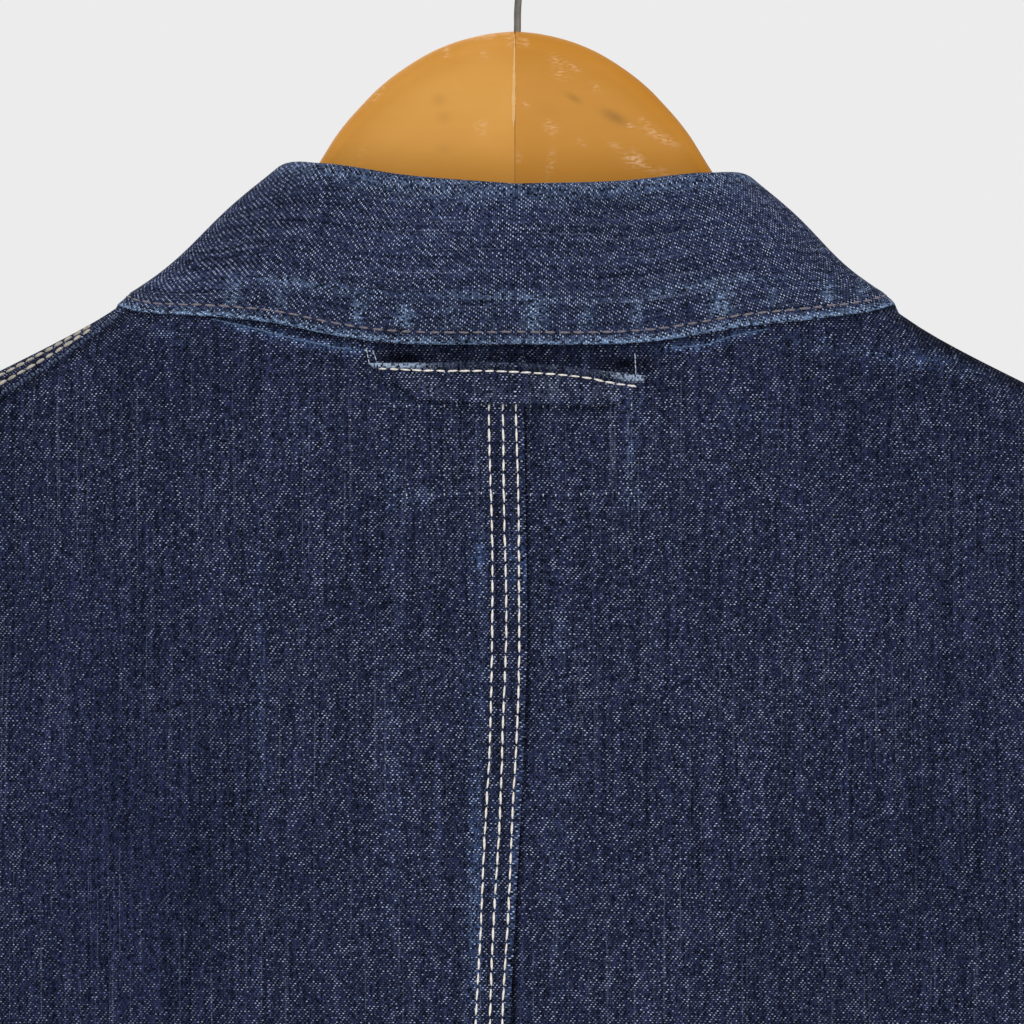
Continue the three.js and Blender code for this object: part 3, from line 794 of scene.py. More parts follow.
@dataclass(frozen=True)
class WornMetal:
    """Drawn or stamped metal, dulled by handling: a grey or brown gloss with fine rubbing.

    Attributes:
        name: The material's name.
        colour: The metal.
        dull: Where it has tarnished.
        roughness: How matt it is at its brightest.
        patch: Size of the tarnished patches, mm.
    """

    name: str
    colour: str
    dull: str
    roughness: float
    patch: float = 2.5

    def material(self) -> Material:
        """Builds the metal.

        Returns:
            The material.
        """
        material, add, shader = new_material(self.name, self.colour)
        where = add("TexCoord").outputs["Object"]
        noise = add("TexNoise", {"Vector": where, "Scale": 1 / (self.patch * MM), "Detail": 4.0})
        mix = add("Mix", {0: noise, 6: linear(self.colour), 7: linear(self.dull)}, data_type="RGBA")
        rough = add("MapRange", {0: noise, 3: self.roughness, 4: self.roughness + 0.25})
        plug(shader, {"Base Color": mix.outputs[2], "Roughness": rough, "Metallic": 1.0})
        return material


@dataclass(frozen=True)
class StudioPaper:
    """Pale matt paper, for the floor: an even near-white with the faintest mottle."""

    name: str = "pale_paper"
    colour: str = "#e4e4e3"
    mottle: str = "#dededd"

    def material(self) -> Material:
        """Builds the paper.

        Returns:
            The material.
        """
        material, add, shader = new_material(self.name, self.colour)
        where = add("TexCoord").outputs["Object"]
        noise = add("TexNoise", {"Vector": where, "Scale": 3.0})
        mix = add("Mix", {0: noise, 6: linear(self.colour), 7: linear(self.mottle)}, data_type="RGBA")
        plug(shader, {"Base Color": mix.outputs[2], "Roughness": 0.9})
        return material


# How the hanging folds lie on each face: place across, how far they stand in (-) or out, half width, the
# level where they begin, and how far they lean sideways from there to the hem.
FOLDS = {Face.BACK: ((88, -6, 26, -230, 14), (-76, -6, 26, -240, -16), (150, 5, 30, -330, 10),
    (-146, 6, 30, -330, -8), (34, 4, 24, -420, -4), (-18, -4, 22, -470, 4)),
    Face.FRONT: ((92, -7, 28, -240, 10), (-96, -6, 28, -240, -14), (156, 6, 28, -330, 6),
    (-150, 6, 28, -340, -10))}

# Smaller creases on each face: start across and level, end across and level, how far they stand in (-) or
# out, half width.
CREASES = {Face.BACK: ((84, -265, 90, -480, -1.3, 9), (64, -300, 62, -420, 0.8, 8),
    (-74, -270, -80, -470, -1.4, 10), (-102, -240, -110, -400, 0.9, 11), (120, -215, 104, -330, -0.8, 10),
    (-124, -205, -112, -300, -0.8, 10), (40, -190, 46, -300, 0.5, 9), (-44, -190, -50, -310, 0.5, 9),
    (205, -330, 130, -430, -2.2, 12), (-205, -335, -128, -440, -2.2, 12), (210, -380, 150, -520, 1.6, 13),
    (-208, -390, -156, -530, 1.6, 13), (60, -560, 78, -790, 1.5, 14), (-52, -600, -60, -800, -1.4, 13),
    (120, -620, 126, -840, -1.3, 13), (-118, -560, -126, -820, 1.3, 14)),
    Face.FRONT: ((150, -260, 60, -330, -1.6, 12), (-150, -265, -62, -340, -1.6, 12),
    (205, -335, 120, -450, -2.4, 13), (-205, -340, -118, -455, -2.4, 13), (60, -330, 66, -640, -1.4, 13),
    (-58, -340, -66, -650, 1.2, 13), (120, -560, 128, -830, 1.5, 14), (-116, -580, -120, -830, -1.4, 14),
    (26, -400, 60, -470, -0.9, 9), (26, -512, 56, -580, -0.9, 9))}


@dataclass
class BodyShell:
    """The smooth shell that the panels are cut from: a middle sheet that hangs from the shoulder ridge,
    with the back standing off it towards +Y and the front towards -Y."""

    underarm: float = -425.0
    hem: float = -850.0
    neck_side: float = 80.0
    shoulder: float = 235.0
    shoulder_roll: float = 20.0
    side_power: float = 6.0
    hang_y: float = -15.0
    hang_depth: float = 260.0
    fold_rise: float = 260.0
    tilt: float = 1.5
    arm_sweep: float = -0.05
    arm_bend: float = -0.0004
    hem_turn: float = 22.0
    hem_height: float = 0.8
    ridge: Through = Through((0, -92), (60, -113), (80, -124), (108, -143.4), (116, -148.6), (143, -162.6),
        (190, -185), (235, -205))
    depth: dict[Face, Through] = field(default_factory=lambda: {Face.BACK: Through((0, 12.5), (60, 16),
        (110, 24), (170, 33), (250, 45), (340, 54), (500, 58), (760, 60)),
        Face.FRONT: Through((0, 12.5), (60, 22), (120, 38), (170, 47), (250, 56), (340, 63), (760, 64))})
    half_width: Through = Through((-850, 238), (-600, 233), (-425, 232), (-405, 245), (-380, 262),
        (-340, 290), (-205, 340))
    armhole_x: Through = Through((-425, 232), (-405, 224), (-370, 217), (-310, 214), (-250, 221), (-205, 235))
    back_seam: Through = Through((-850, 0), (-600, 2), (-420, 3.2), (-342, 1.8), (-308, 0.2), (-264, -1.9),
        (-230, -2.8), (-174, -1.9))

    def __post_init__(self) -> None:
        """Lays out the tables that give places in the flat cloth."""
        self._tables = {face: self._flatten(face) for face in Face}

    def ridge_y(self, x: Array) -> Array:
        """How far forward the hanger's arm carries the shoulder."""
        return self.arm_sweep * x + self.arm_bend * x * x

    def ridge_z(self, x: Array) -> Array:
        """The height of the shoulder ridge, a little higher on the left."""
        lean = smooth((np.abs(x) - 50) / 50) * (1 - 0.8 * smooth((np.abs(x) - 150) / 85))
        return self.ridge(np.abs(x)) + self.tilt * np.sign(x) * lean

    def hem_rise(self, z: Array) -> Array:
        """How far the turned-up hem stands out."""
        return self.hem_height * (1 - smooth((z - self.hem - self.hem_turn) / 3))

    def relief(self, face: Face, x: Array, z: Array) -> Array:
        """How far folds and creases stand out.

        Args:
            face: Back or front.
            x: Places across.
            z: Levels.

        Returns:
            Millimetres, inwards negative.
        """
        total = np.zeros(np.broadcast(x, z).shape)
        for at, depth, width, start, lean in FOLDS[face]:
            fall = np.maximum(start - z, 0) / (start - self.hem)
            rise = smooth((start - z) / self.fold_rise)
            total = total + depth * hill(x, at + lean * fall, width) * rise
        for x0, z0, x1, z1, depth, width in CREASES[face]:
            run = math.hypot(x1 - x0, z1 - z0)
            ux, uz = (x1 - x0) / run, (z1 - z0) / run
            along = ((x - x0) * ux + (z - z0) * uz) / run
            off = (x - x0) * uz - (z - z0) * ux
            fade = smooth(along / 0.35) * smooth((1 - along) / 0.35)
            total = total + depth * hill(off, 0, width) * fade
        return total

    def _parts(self, face: Face, x: Array, z: Array) -> tuple[Array, Array, Array]:
        """Reads the shell's make-up.

        Args:
            face: Back or front.
            x: Places across.
            z: Levels.

        Returns:
            The middle sheet, the half depth there, and how much the side leaves of it.
        """
        out = np.abs(x)
        below = self.ridge_z(x) - z
        roll = np.minimum(below / self.shoulder_roll, 1)
        middle = lerp(self.ridge_y(out), self.hang_y, smooth(below / self.hang_depth))
        share = (1 - (1 - roll) ** 2) * (1 - (out / self.half_width(z)) ** self.side_power)
        return middle, self.depth[face](below), share

    def point(self, face: Face, x: Array, z: Array) -> Array:
        """Points on the outside of the shell.

        Args:
            face: Back or front.
            x: Places across.
            z: Levels.

        Returns:
            One point for each.
        """
        x, z = np.broadcast_arrays(np.asarray(x, float), np.asarray(z, float))
        middle, depth, share = self._parts(face, x, z)
        y = middle + face.value * (depth * np.sqrt(np.maximum(share, 0)) + self.relief(face, x, z))
        return np.stack([x, y, z], -1)

    def normal(self, face: Face, p: Array) -> Array:
        """Outward directions there, also on the ridge and the side seam, where both sheets agree.

        Args:
            face: Back or front.
            p: Points on the shell.

        Returns:
            Directions of length 1.
        """

        def outside(q: Array) -> Array:
            """How far outside the shell points lie, in square millimetres."""
            middle, depth, share = self._parts(face, q[..., 0], q[..., 2])
            y = q[..., 1] - middle - face.value * self.relief(face, q[..., 0], q[..., 2])
            return y * y - depth * depth * share

        step = 0.02
        slopes = []
        for axis in range(3):
            move = np.zeros(3)
            move[axis] = step
            slopes.append(outside(p + move) - outside(p - move))
        return unit(np.stack(slopes, -1))

    def _flatten(self, face: Face) -> tuple[Array, Array, Array, Array]:
        """Lengths along the cloth, level by level and line by line.

        Args:
            face: Back or front.

        Returns:
            Places across, levels, lengths from the centre, and lengths up from the hem.
        """
        half, top, step = 240, -100, 2
        xs = np.linspace(-half, half, 2 * half // step + 1)
        zs = np.linspace(self.hem, top, int((top - self.hem) / step) + 1)
        x, z = np.meshgrid(xs, zs)
        y = self.point(face, x, np.minimum(z, self.ridge_z(x) - 0.05))[..., 1]
        across = np.hypot(np.diff(x, axis=1, prepend=-half - step), np.diff(y, axis=1, prepend=y[:, :1]))
        across = np.cumsum(across, 1)
        across -= across[:, half // step, None]
        up = np.cumsum(np.hypot(np.diff(z, axis=0, prepend=self.hem), np.diff(y, axis=0, prepend=y[:1])), 0)
        return xs, zs, across, up

    def cut(self, face: Face, x: Array, z: Array) -> Array:
        """Places in the flat cloth, read so that the right of the picture is the right of the cloth.

        Args:
            face: Back or front.
            x: Places across.
            z: Levels.

        Returns:
            Two lengths in millimetres for each point.
        """
        xs, zs, across, up = self._tables[face]
        i = np.clip((x - xs[0]) / (xs[1] - xs[0]), 0, len(xs) - 1.001)
        j = np.clip((z - zs[0]) / (zs[1] - zs[0]), 0, len(zs) - 1.001)
        a, b = i.astype(int), j.astype(int)
        s, t = i - a, j - b
        values = []
        for table in (across, up):
            low = lerp(table[b, a], table[b, a + 1], s)
            high = lerp(table[b + 1, a], table[b + 1, a + 1], s)
            values.append(lerp(low, high, t))
        return np.stack([-face.value * values[0], values[1]], -1)


# Necklines seen from behind or in front: distance from the centre, and height.
NECKLINE = {Face.BACK: Spline([(0, -150.5), (34, -148.0), (62, -139.5), (80, -124)], even=True),
    Face.FRONT: Spline([(-18, -212.5), (3, -212), (30, -206), (58, -181), (75, -150), (80, -124)], even=True)}
NECK_AT = {Face.BACK: (0, 1 / 3, 0.6, 0.8, 0.92, 0.98, 1), Face.FRONT: (0, 0.2, 0.4, 0.6, 0.8, 0.92, 0.98, 1)}
SHOULDER_SPANS = 7
# Rows of stitches on the felled seam of the back, in from its edge.
FELL_ROWS = (1.4, 5.1, 8.8)
UPPER_FALL = (0, 0.004, 0.02, 0.06, 0.13, 0.24, 0.38, 0.53, 0.68, 0.81, 0.91, 0.97, 1)


@dataclass
class Panel:
    """Half of the back or of the front, from the neck and shoulder down to the hem."""

    shell: BodyShell
    face: Face
    side: Side
    cloth: float = 1.4
    seam_gap: float = 0.3
    overlap: float = 18.0
    underlap_in: float = 2.1
    fell_height: float = 0.9
    fell_width: float = 10.4
    fell_lap: float = 0.7
    seam_columns: int = 25
    front_columns: int = 9
    span_width: float = 18.0
    turn_rows: int = 22
    turn_share: float = 20 / 260
    upper_run: float = 245.0
    fine: float = 2.2
    front_fine: float = 4.0
    coarse: float = 6.5
    even_steps: int = 160

    def __post_init__(self) -> None:
        """Lays out the grid of points."""
        if self.face is Face.FRONT:
            self.fine = self.front_fine
        self.base, self.normals = self._grid()
        self.outer = self.base + self.normals * self._raised()[..., None]
        if self.face is Face.BACK and self.side is Side.LEFT:
            self.outer[:, 0, 0] -= self.fell_lap

    @property
    def name(self) -> str:
        """The piece's name, which is its solid's."""
        return f"{self.face.name}_{self.side.name}".lower()

    def centre(self, z: Array) -> Array:
        """Where the panel starts at the centre, counted towards its own side."""
        seam = self.side.value * self.shell.back_seam(z) + self.seam_gap / 2
        return seam if self.face is Face.BACK else np.full(np.shape(z), -self.overlap)

    def _columns(self) -> Array:
        """Spaces the columns.

        Returns:
            Their places, counted in the solid's own columns.
        """
        spans = len(NECK_AT[self.face]) - 1 + SHOULDER_SPANS
        first = np.linspace(0, 1, self.seam_columns if self.face is Face.BACK else self.front_columns)
        steps = int(round(self.span_width / self.fine))
        return np.concatenate([first, np.linspace(1, spans, (spans - 1) * steps + 1)[1:]])

    def _falls(self) -> Array:
        """Spaces the upper rows.

        Returns:
            Shares of the way down from the shoulder to the underarm.
        """
        turn = self.turn_share
        roll = turn * (1 - np.cos(np.linspace(0, math.pi / 2, self.turn_rows + 1)))
        return np.concatenate([roll, np.linspace(turn, 1, int(self.upper_run / self.fine) + 1)[1:]])

    def _even(self, z: float, columns: Array) -> Array:
        """Spaces the columns evenly along the cloth.

        Args:
            z: The level.
            columns: The columns' places.

        Returns:
            Shares across the body.
        """
        start, side = float(self.centre(np.array(z))), float(self.shell.half_width(z))
        x = lerp(start, side, np.sin(np.linspace(0, math.pi / 2, self.even_steps + 1)))
        length = run_along(self.shell.point(self.face, x, z), 0)
        at = np.interp(columns / columns[-1] * length[-1], length, x)
        return (at - start) / (side - start)

    def _grid(self) -> tuple[Array, Array]:
        """Lays out rows from the neck down and columns from the centre out.

        Returns:
            The panel's points and outward directions.
        """
        s = self.shell
        columns = self._columns()
        neck = len(NECK_AT[self.face]) - 1
        spread = np.clip((columns - neck) / SHOULDER_SPANS, 0, 1)
        share = np.interp(columns, np.arange(neck + 1), NECK_AT[self.face])
        on_neck = NECKLINE[self.face](share)
        shoulder_x = lerp(s.neck_side, s.shoulder, spread)
        top_x = np.where(columns <= neck, on_neck[:, 0], shoulder_x)
        top_z = np.where(columns <= neck, on_neck[:, 1], s.ridge_z(self.side.value * shoulder_x))
        top_x[0] = self.centre(top_z[:1])[0]
        top_share = (top_x - self.centre(top_z)) / (s.shoulder - self.centre(top_z))
        chest = self._even(s.underarm, columns)
        self.falls = self._falls()
        xs, zs = [], []
        for fall in self.falls:
            edge = s.armhole_x(lerp(s.ridge(s.shoulder), s.underarm, fall))
            z = lerp(top_z, s.underarm, fall)
            xs.append(lerp(self.centre(z), edge, lerp(top_share, chest, smooth(fall))))
            zs.append(z)
        rows = int(round((s.underarm - s.hem) / self.coarse))
        for z in np.linspace(s.underarm, s.hem, rows + 1)[1:]:
            start = float(self.centre(np.array(z)))
            xs.append(lerp(start, float(s.half_width(z)), self._even(z, columns)))
            zs.append(np.full(len(columns), z))
        self.x, self.z = self.side.value * np.array(xs), np.array(zs)
        points = s.point(self.face, self.x, self.z)
        upper = len(self.falls) - 1
        seam = np.zeros(self.x.shape)
        seam[0, columns >= neck] = 1
        seam[upper:, -1] = 1
        points[..., 1] += self.face.value * self.seam_gap / 2 * seam
        normals = s.normal(self.face, points)
        if self.face is Face.FRONT and self.side is Side.RIGHT:
            under = smooth((points[..., 0] + 3 * self.overlap) / (2 * self.overlap))
            points = points - normals * (self.underlap_in * under)[..., None]
        return points, normals

    def inset(self) -> Array:
        """Distance from the panel's edge at the centre."""
        return self.side.value * self.x - self.centre(self.z)

    def fell(self, inset: Array) -> Array:
        """The doubled seam allowance of the left back, dented under each row of stitches.

        Args:
            inset: Distances from the seam's edge.

        Returns:
            How far it stands up.
        """
        plateau = 1 - smooth((inset - self.fell_width) / 1.6)
        dents = sum(hill(inset, at, 0.55) for at in FELL_ROWS)
        edge = 1 - 0.35 * np.exp(-inset / 0.35)
        return self.fell_height * plateau * edge - 0.22 * dents

    def strip_reach(self, x: Array) -> Array:
        """How far the doubled shoulder seam laps over onto the left back."""
        return Through((103, 0.2), (112, 1.4), (121, 2.9), (131, 4.4), (143, 5.6), (235, 8))(x)

    def strip(self) -> Array:
        """The doubled shoulder seam on the left back, 0 to 1."""
        past = self.shell.ridge_z(self.x) - self.z - self.strip_reach(self.x)
        return (1 - smooth(past / 0.8)) * smooth((self.x - 103) / 6)

    def _raised(self) -> Array:
        """Raises the doubled cloth.

        Returns:
            How far it stands above the plain panel.
        """
        raised = np.zeros(self.x.shape)
        if self.face is Face.BACK:
            if self.side is Side.LEFT:
                raised = raised + self.fell(self.inset()) + 1.0 * self.strip()
            raised = raised + 0.25 * np.sin(self.z / 2.1) * hill(self.inset(), 12.5, 3.5) * 0.4
        elif self.side is Side.LEFT:
            inset = self.inset()
            raised = raised + 0.7 * (1 - smooth((inset - 36) / 2.5)) - 0.2 * hill(inset, 34, 0.9)
        return raised + self.shell.hem_rise(self.z) * smooth((self.z + 300) / -60)

    def marks(self) -> dict[str, Array]:
        """Wear, deeper or thinner dye with painted shade and painted light, and flatness of the weave.

        Returns:
            The marks "wear", "shade" and "flat" by row and column.
        """
        x, z = self.x, self.z
        wear, shade, flat = np.zeros((3, *x.shape))
        hem = z - self.shell.hem
        wear += 0.75 * hill(hem, 0.5, 2.2) + 0.28 * hill(hem, 23, 4) * (0.6 + 0.4 * np.sin(x / 2.3))
        if self.face is Face.BACK:
            inset = self.inset()
            for run, much in NECK_WEAR:
                peek = smooth((x - run.at[0]) / 5) * smooth((run.at[-1] - x) / 8)
                wear += much * peek * hill(z, run(x), 1.2)
                # Painted shade: a dark line just above each rubbed line, in the hollow under the collar's
                # edge.
                shade -= 0.4 * peek * hill(z, run(x) + 1.5, 0.8)
            wear += spots(x, z, BACK_WEAR)
            # Painted shadow in the hang loop's slot and painted shade in the folds, with the cloth darkened
            # or lightened a little elsewhere.
            shade += spots(x, z, BACK_SHADE)
            flat += spots(x, z, BACK_FLAT)
            if self.side is Side.LEFT:
                between = hill(inset, 3.2, 1.3) + hill(inset, 6.9, 1.3)
                shade -= 0.12 * between
                rubbed = 0.16 + 0.5 * hill(z, -214, 9) + 0.42 * hill(z, -306, 34)
                wear += rubbed * hill(inset, 0.5, 0.8) + 0.12 * hill(inset, 11.3, 1.2)
                past = self.shell.ridge_z(x) - z - self.strip_reach(x)
                # Painted shadow: a dark line just below the shoulder strip's edge.
                shade -= 0.5 * hill(past, 1.9, 1.1) * smooth((x - 100) / 5)
            else:
                # Painted shadow: a dark line where the left back laps over this panel's edge, faded out near
                # the neck.
                shade -= 0.7 * hill(inset, 0.8, 0.8) * smooth((-z - 166) / 6)
                # Painted shade: a dark band along the right shoulder's edge, where the cloth rolls over the
                # shoulder.
                shade -= 0.68 * hill(self.shell.ridge_z(x) - z, 0, 3.4) * smooth((-x - 98) / 8)
            # Painted light: the cloth just below the collar's edge is lightened, away from the middle.
            shade += 0.4 * hill(z, COLLAR_EDGE(x) - 2.6, 2.2) * smooth((np.abs(x) - 30) / 14)
        return {"wear": np.clip(wear, 0, 1), "shade": np.clip(shade, -0.92, 0.9), "flat": flat}

    def build(self, material: Material) -> Object:
        """Args:
            material: Its denim.

        Returns:
            The piece.
        """
        inner = self.base - self.normals * self.cloth
        cut = self.shell.cut(self.face, self.x, self.z)
        piece = link(self.name, Wall(self.outer, inner, cut, self.marks()).mesh(self.name), material)
        width, length = np.ptp(cut[..., 0]) * MM, np.ptp(cut[..., 1]) * MM
        return dress(piece, [self.name], Cut(width, length, grid_area(self.base),
            [f"hanger_board_{self.side.name.lower()}"]))

    def armhole(self) -> tuple[Array, Array]:
        """The panel's edge along the armhole, and the solid's own count of rows there."""
        upper = len(self.falls)
        return self.base[:upper, -1], np.interp(self.falls, UPPER_FALL, np.arange(len(UPPER_FALL)))


# The level of the collar's lower edge across the back, just below which the cloth is lightened as painted
# light.
COLLAR_EDGE = Through((-101, -141), (-79, -144.3), (-51.4, -148.5), (-23.6, -151.3), (0, -153.2),
    (32, -152.1), (51.4, -150.4), (70.8, -147.1), (87.5, -143.8), (105.5, -140.2))

# Rubbed lines where the neck seam shows through below the collar, and how much.
NECK_WEAR = ((Through((38, -154.9), (47.2, -154.4), (55.3, -152.9), (63.3, -151.2), (73.3, -148.6),
    (84, -146.2)), 0.75), (Through((-70, -149.0), (-60.5, -150.9), (-52.5, -153.4), (-42.5, -154.3),
    (-36, -155.0)), 0.75))

# Rubbed places on the back: place across, level, half width, half height, how much.
BACK_WEAR = ((10.2, -212, 1.7, 5, 0.62), (11.5, -222, 2.0, 5, 0.15), (0.9, -213, 1.2, 10, 0.4),
    (11.2, -300, 1.6, 24, 0.5), (10.2, -328, 1.6, 12, 0.45), (5.4, -300, 1.0, 24, 0.3),
    (-2.5, -270, 1.6, 14, 0.22), (12.0, -250, 2.0, 14, 0.16), (24, -164, 10, 3.0, 0.20),
    (2, -166, 9, 2.2, 0.26), (-16, -166, 8, 2.6, 0.30), (-30, -168, 4, 2.2, 0.28),
    (33.5, -183, 1.2, 12, 0.24), (-32.5, -184, 1.4, 12, 0.26), (26, -196, 5, 3, 0.24),
    (-33, -196, 3, 3, 0.22), (20, -169.4, 16, 1.0, 0.2), (-18, -169.2, 14, 1.0, 0.26),
    (-127, -161, 6, 1.3, 0.5), (-113, -157.8, 9, 1.4, 0.6), (-99, -155.6, 7, 1.4, 0.36),
    (-86, -153.5, 5, 1.6, 0.36), (-77, -151.6, 4, 1.6, 0.34), (96, -151, 5, 2.2, 0.24),
    (-62, -172, 9, 5, 0.10), (58, -176, 7, 8, 0.08), (71, -268, 1.4, 60, 0.16), (34, -250, 1.6, 70, 0.10),
    (-12, -262, 2.6, 60, 0.10))

# Places on the back made darker (-) or lighter, in the same order: the deep dark marks round the hang loop's
# ends and above it are painted shadow in the slot under the collar, the long dark bands low down are painted
# shade in the hanging folds, and the rest darken or lighten the cloth a little.
BACK_SHADE = ((0, -192, 30, 11, -0.03), (-24, -182, 12, 12, 0.02), (-20, -215, 22, 30, -0.04),
    (22, -240, 16, 40, -0.06), (88, -305, 12, 50, -0.16), (66, -318, 7, 26, -0.10), (-74, -300, 9, 40, -0.18),
    (-98, -318, 14, 34, -0.10), (-124, -325, 20, 30, -0.12), (100, -176, 18, 20, -0.06),
    (48, -290, 20, 34, -0.05), (30, -300, 9, 36, 0.07), (-108, -200, 12, 20, -0.05),
    (110, -156, 10, 6, -0.10), (-116, -164, 14, 4, -0.16), (128, -176, 14, 5, -0.14),
    (31.5, -157.0, 7.0, 1.9, -0.92), (-30.5, -158.9, 5.5, 2.3, -0.92), (4, -157.0, 22, 1.2, -0.5),
    (36, -153.6, 1.6, 3.0, -0.4), (-37, -157.5, 1.8, 3.4, -0.4), (112, -305, 26, 56, 0.12))

# Places on the back where the weft shows less, in the same order.
BACK_FLAT = ((108, -300, 34, 62, 0.68), (128, -220, 30, 40, 0.28), (-118, -300, 34, 60, 0.26),
    (-126, -210, 26, 40, 0.22), (60, -180, 30, 24, 0.12), (86, -160, 28, 15, 0.3), (-92, -166, 30, 14, 0.2))


@dataclass
class Row:
    """A row of stitches: the points it follows, and the outward directions there."""

    points: Array
    out: Array


@dataclass
class Cut:
    """The flat cut of a piece of cloth, in metres, and what it hangs on."""

    width: float
    length: float
    area: float
    rests_on: list[str]
    held: Held = Held.HUNG


def dress(piece: Object, nodes: list[str], cut: Cut | None = None) -> Object:
    """Sets a finished piece on the frame.

    Args:
        piece: The piece.
        nodes: The solids that it stands for.
        cut: Its flat cut, where it is cloth; not used.

    Returns:
        The piece.
    """
    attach(piece, "root")
    if nodes:
        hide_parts(*nodes)
    LOG.info("%s: %d faces", piece.name, len(piece.data.polygons))
    return piece


@dataclass
class Sleeve:
    """A one-piece sleeve: a tube set into the armhole, hanging straight down with soft elbow creases."""

    back: Panel
    front: Panel
    cloth: float = 1.4
    rows: int = 110
    head: float = 0.22
    seam_gap: float = 0.3
    cuff_turn: float = 28.0
    cuff_height: float = 0.8
    head_turn: float = 9.0
    head_height: float = 0.5
    top: Spline = Spline([(235, -33.8, -205), (257, -33, -215), (290, -32, -248), (321, -33, -315),
        (343, -36, -404), (357, -42, -506), (363, -50, -640), (355, -60, -790)])
    under: Spline = Spline([(232, -15, -425), (236.5, -15, -431), (240, -16, -444), (242.5, -19, -475),
        (243, -23, -530), (243, -30, -610), (243.5, -38, -695), (245, -48, -785)])
    half_depth: Through = Through((0, 37), (0.3, 43), (0.55, 42), (0.8, 37), (1, 31))
    # Place along the sleeve, how far they stand in, half width, slant
    creases: tuple = ((0.44, -4, 0.035, 0.03), (0.54, -5, 0.03, -0.03), (0.64, -4, 0.03, 0.03),
        (0.9, -3, 0.025, 0.02))
    small_creases: tuple = ((0.30, -1.6, 0.018, 0.05), (0.49, 1.5, 0.016, 0.02), (0.59, 1.6, 0.015, -0.02),
        (0.70, -1.8, 0.016, -0.04), (0.77, 1.2, 0.016, 0.03), (0.83, -1.4, 0.014, -0.02))

    def grid(self) -> Array:
        """Lays out rows from the armhole to the cuff and columns round the arm.

        Returns:
            The sleeve's outer points.
        """
        side = self.back.side.value
        back, back_at = self.back.armhole()
        front, _ = self.front.armhole()
        pick = np.unique(np.concatenate([np.arange(0, len(back), 2), [len(back) - 1]]))
        fine = np.interp(self.back.falls[pick], self.front.falls, np.arange(len(front)))
        whole = fine.astype(int)
        front = lerp(front[whole], front[np.minimum(whole + 1, len(front) - 1)], (fine - whole)[:, None])
        back, turn = back[pick], math.pi * back_at[pick] / (len(UPPER_FALL) - 1)
        ring = np.concatenate([back, front[-2:0:-1]])
        turn = np.concatenate([turn, 2 * math.pi - turn[-2:0:-1]])
        ring[[0, len(pick) - 1]] = (ring[[0, len(pick) - 1]] + front[[0, -1]]) / 2
        mirror = np.array([side, 1, 1])
        start = (self.top(0.0) + self.under(0.0)) / 2
        along = np.linspace(0, 1, self.rows + 1)[:, None]
        top, under = self.top(along[:, 0]), self.under(along[:, 0])
        middle, reach = (top + under) / 2, (top - under) / 2
        tube = smooth(along / self.head)
        swell = np.zeros((self.rows + 1, len(ring)))
        for at, depth, width, slant in self.creases:
            swell += depth * hill(along - at, slant * np.cos(turn), width) * (0.5 - 0.5 * np.cos(turn))
        for at, depth, width, slant in self.small_creases:
            uneven = 0.3 + 0.7 * np.sin(turn + 8 * at) ** 2
            swell += depth * hill(along - at, slant * np.cos(turn), width) * uneven
        deep = self.half_depth(along) + swell
        round_ = middle[:, None] + reach[:, None] * np.cos(turn)[:, None]
        round_[..., 1] += deep * np.sin(turn)
        drift = (middle - start) * mirror
        drift[:, 0] += side * self.seam_gap * (1 - tube[:, 0])
        return lerp(ring[None] + drift[:, None], round_ * mirror, tube[..., None])

    def build(self, material: Material) -> Object:
        """Args:
            material: Its denim.

        Returns:
            The piece.
        """
        side = self.back.side
        base = self.grid()
        normals = grid_normals(base, closed=True)
        if (normals[-1, 0, 0] * side.value) < 0:
            normals = -normals
        down = run_along(base, 0)
        length = down[-1].mean()
        hem = length - down * (length / down[-1])
        cuff = self.cuff_height * (1 - smooth((hem - self.cuff_turn) / 3))
        head = self.head_height * (1 - smooth((down - self.head_turn) / 2)) * smooth(down / 1.5)
        outer = base + normals * (cuff + head)[..., None]
        across = run_along(np.concatenate([base, base[:, :1]], 1), 1)
        across = across - across[:, -1:] / 2
        cut = np.stack([-side.value * across, -np.concatenate([down, down[:, :1]], 1)], -1)
        wear = 0.7 * hill(hem, 0.5, 2.2) + 0.25 * hill(hem, 29, 4) + 0.12 * hill(down, 9, 2.5)
        self.normals, self.outer = normals, outer
        name = f"sleeve_{side.name.lower()}"
        wall = Wall(outer, base - normals * self.cloth, cut, {"wear": np.clip(wear, 0, 1)}, closed=True)
        piece = link(name, wall.mesh(name), material)
        area = grid_area(base, closed=True)
        wide = float(across[:, -1].max() * 2 * MM)
        return dress(piece, [name], Cut(wide, float(length * MM), area,
            [self.back.name, self.front.name]))

    def round_row(self, i: int) -> Row:
        """A row of stitches round the arm, along one of the sleeve's rings."""
        ring = np.append(np.arange(self.outer.shape[1]), 0)
        return Row(self.outer[i, ring], self.normals[i, ring])


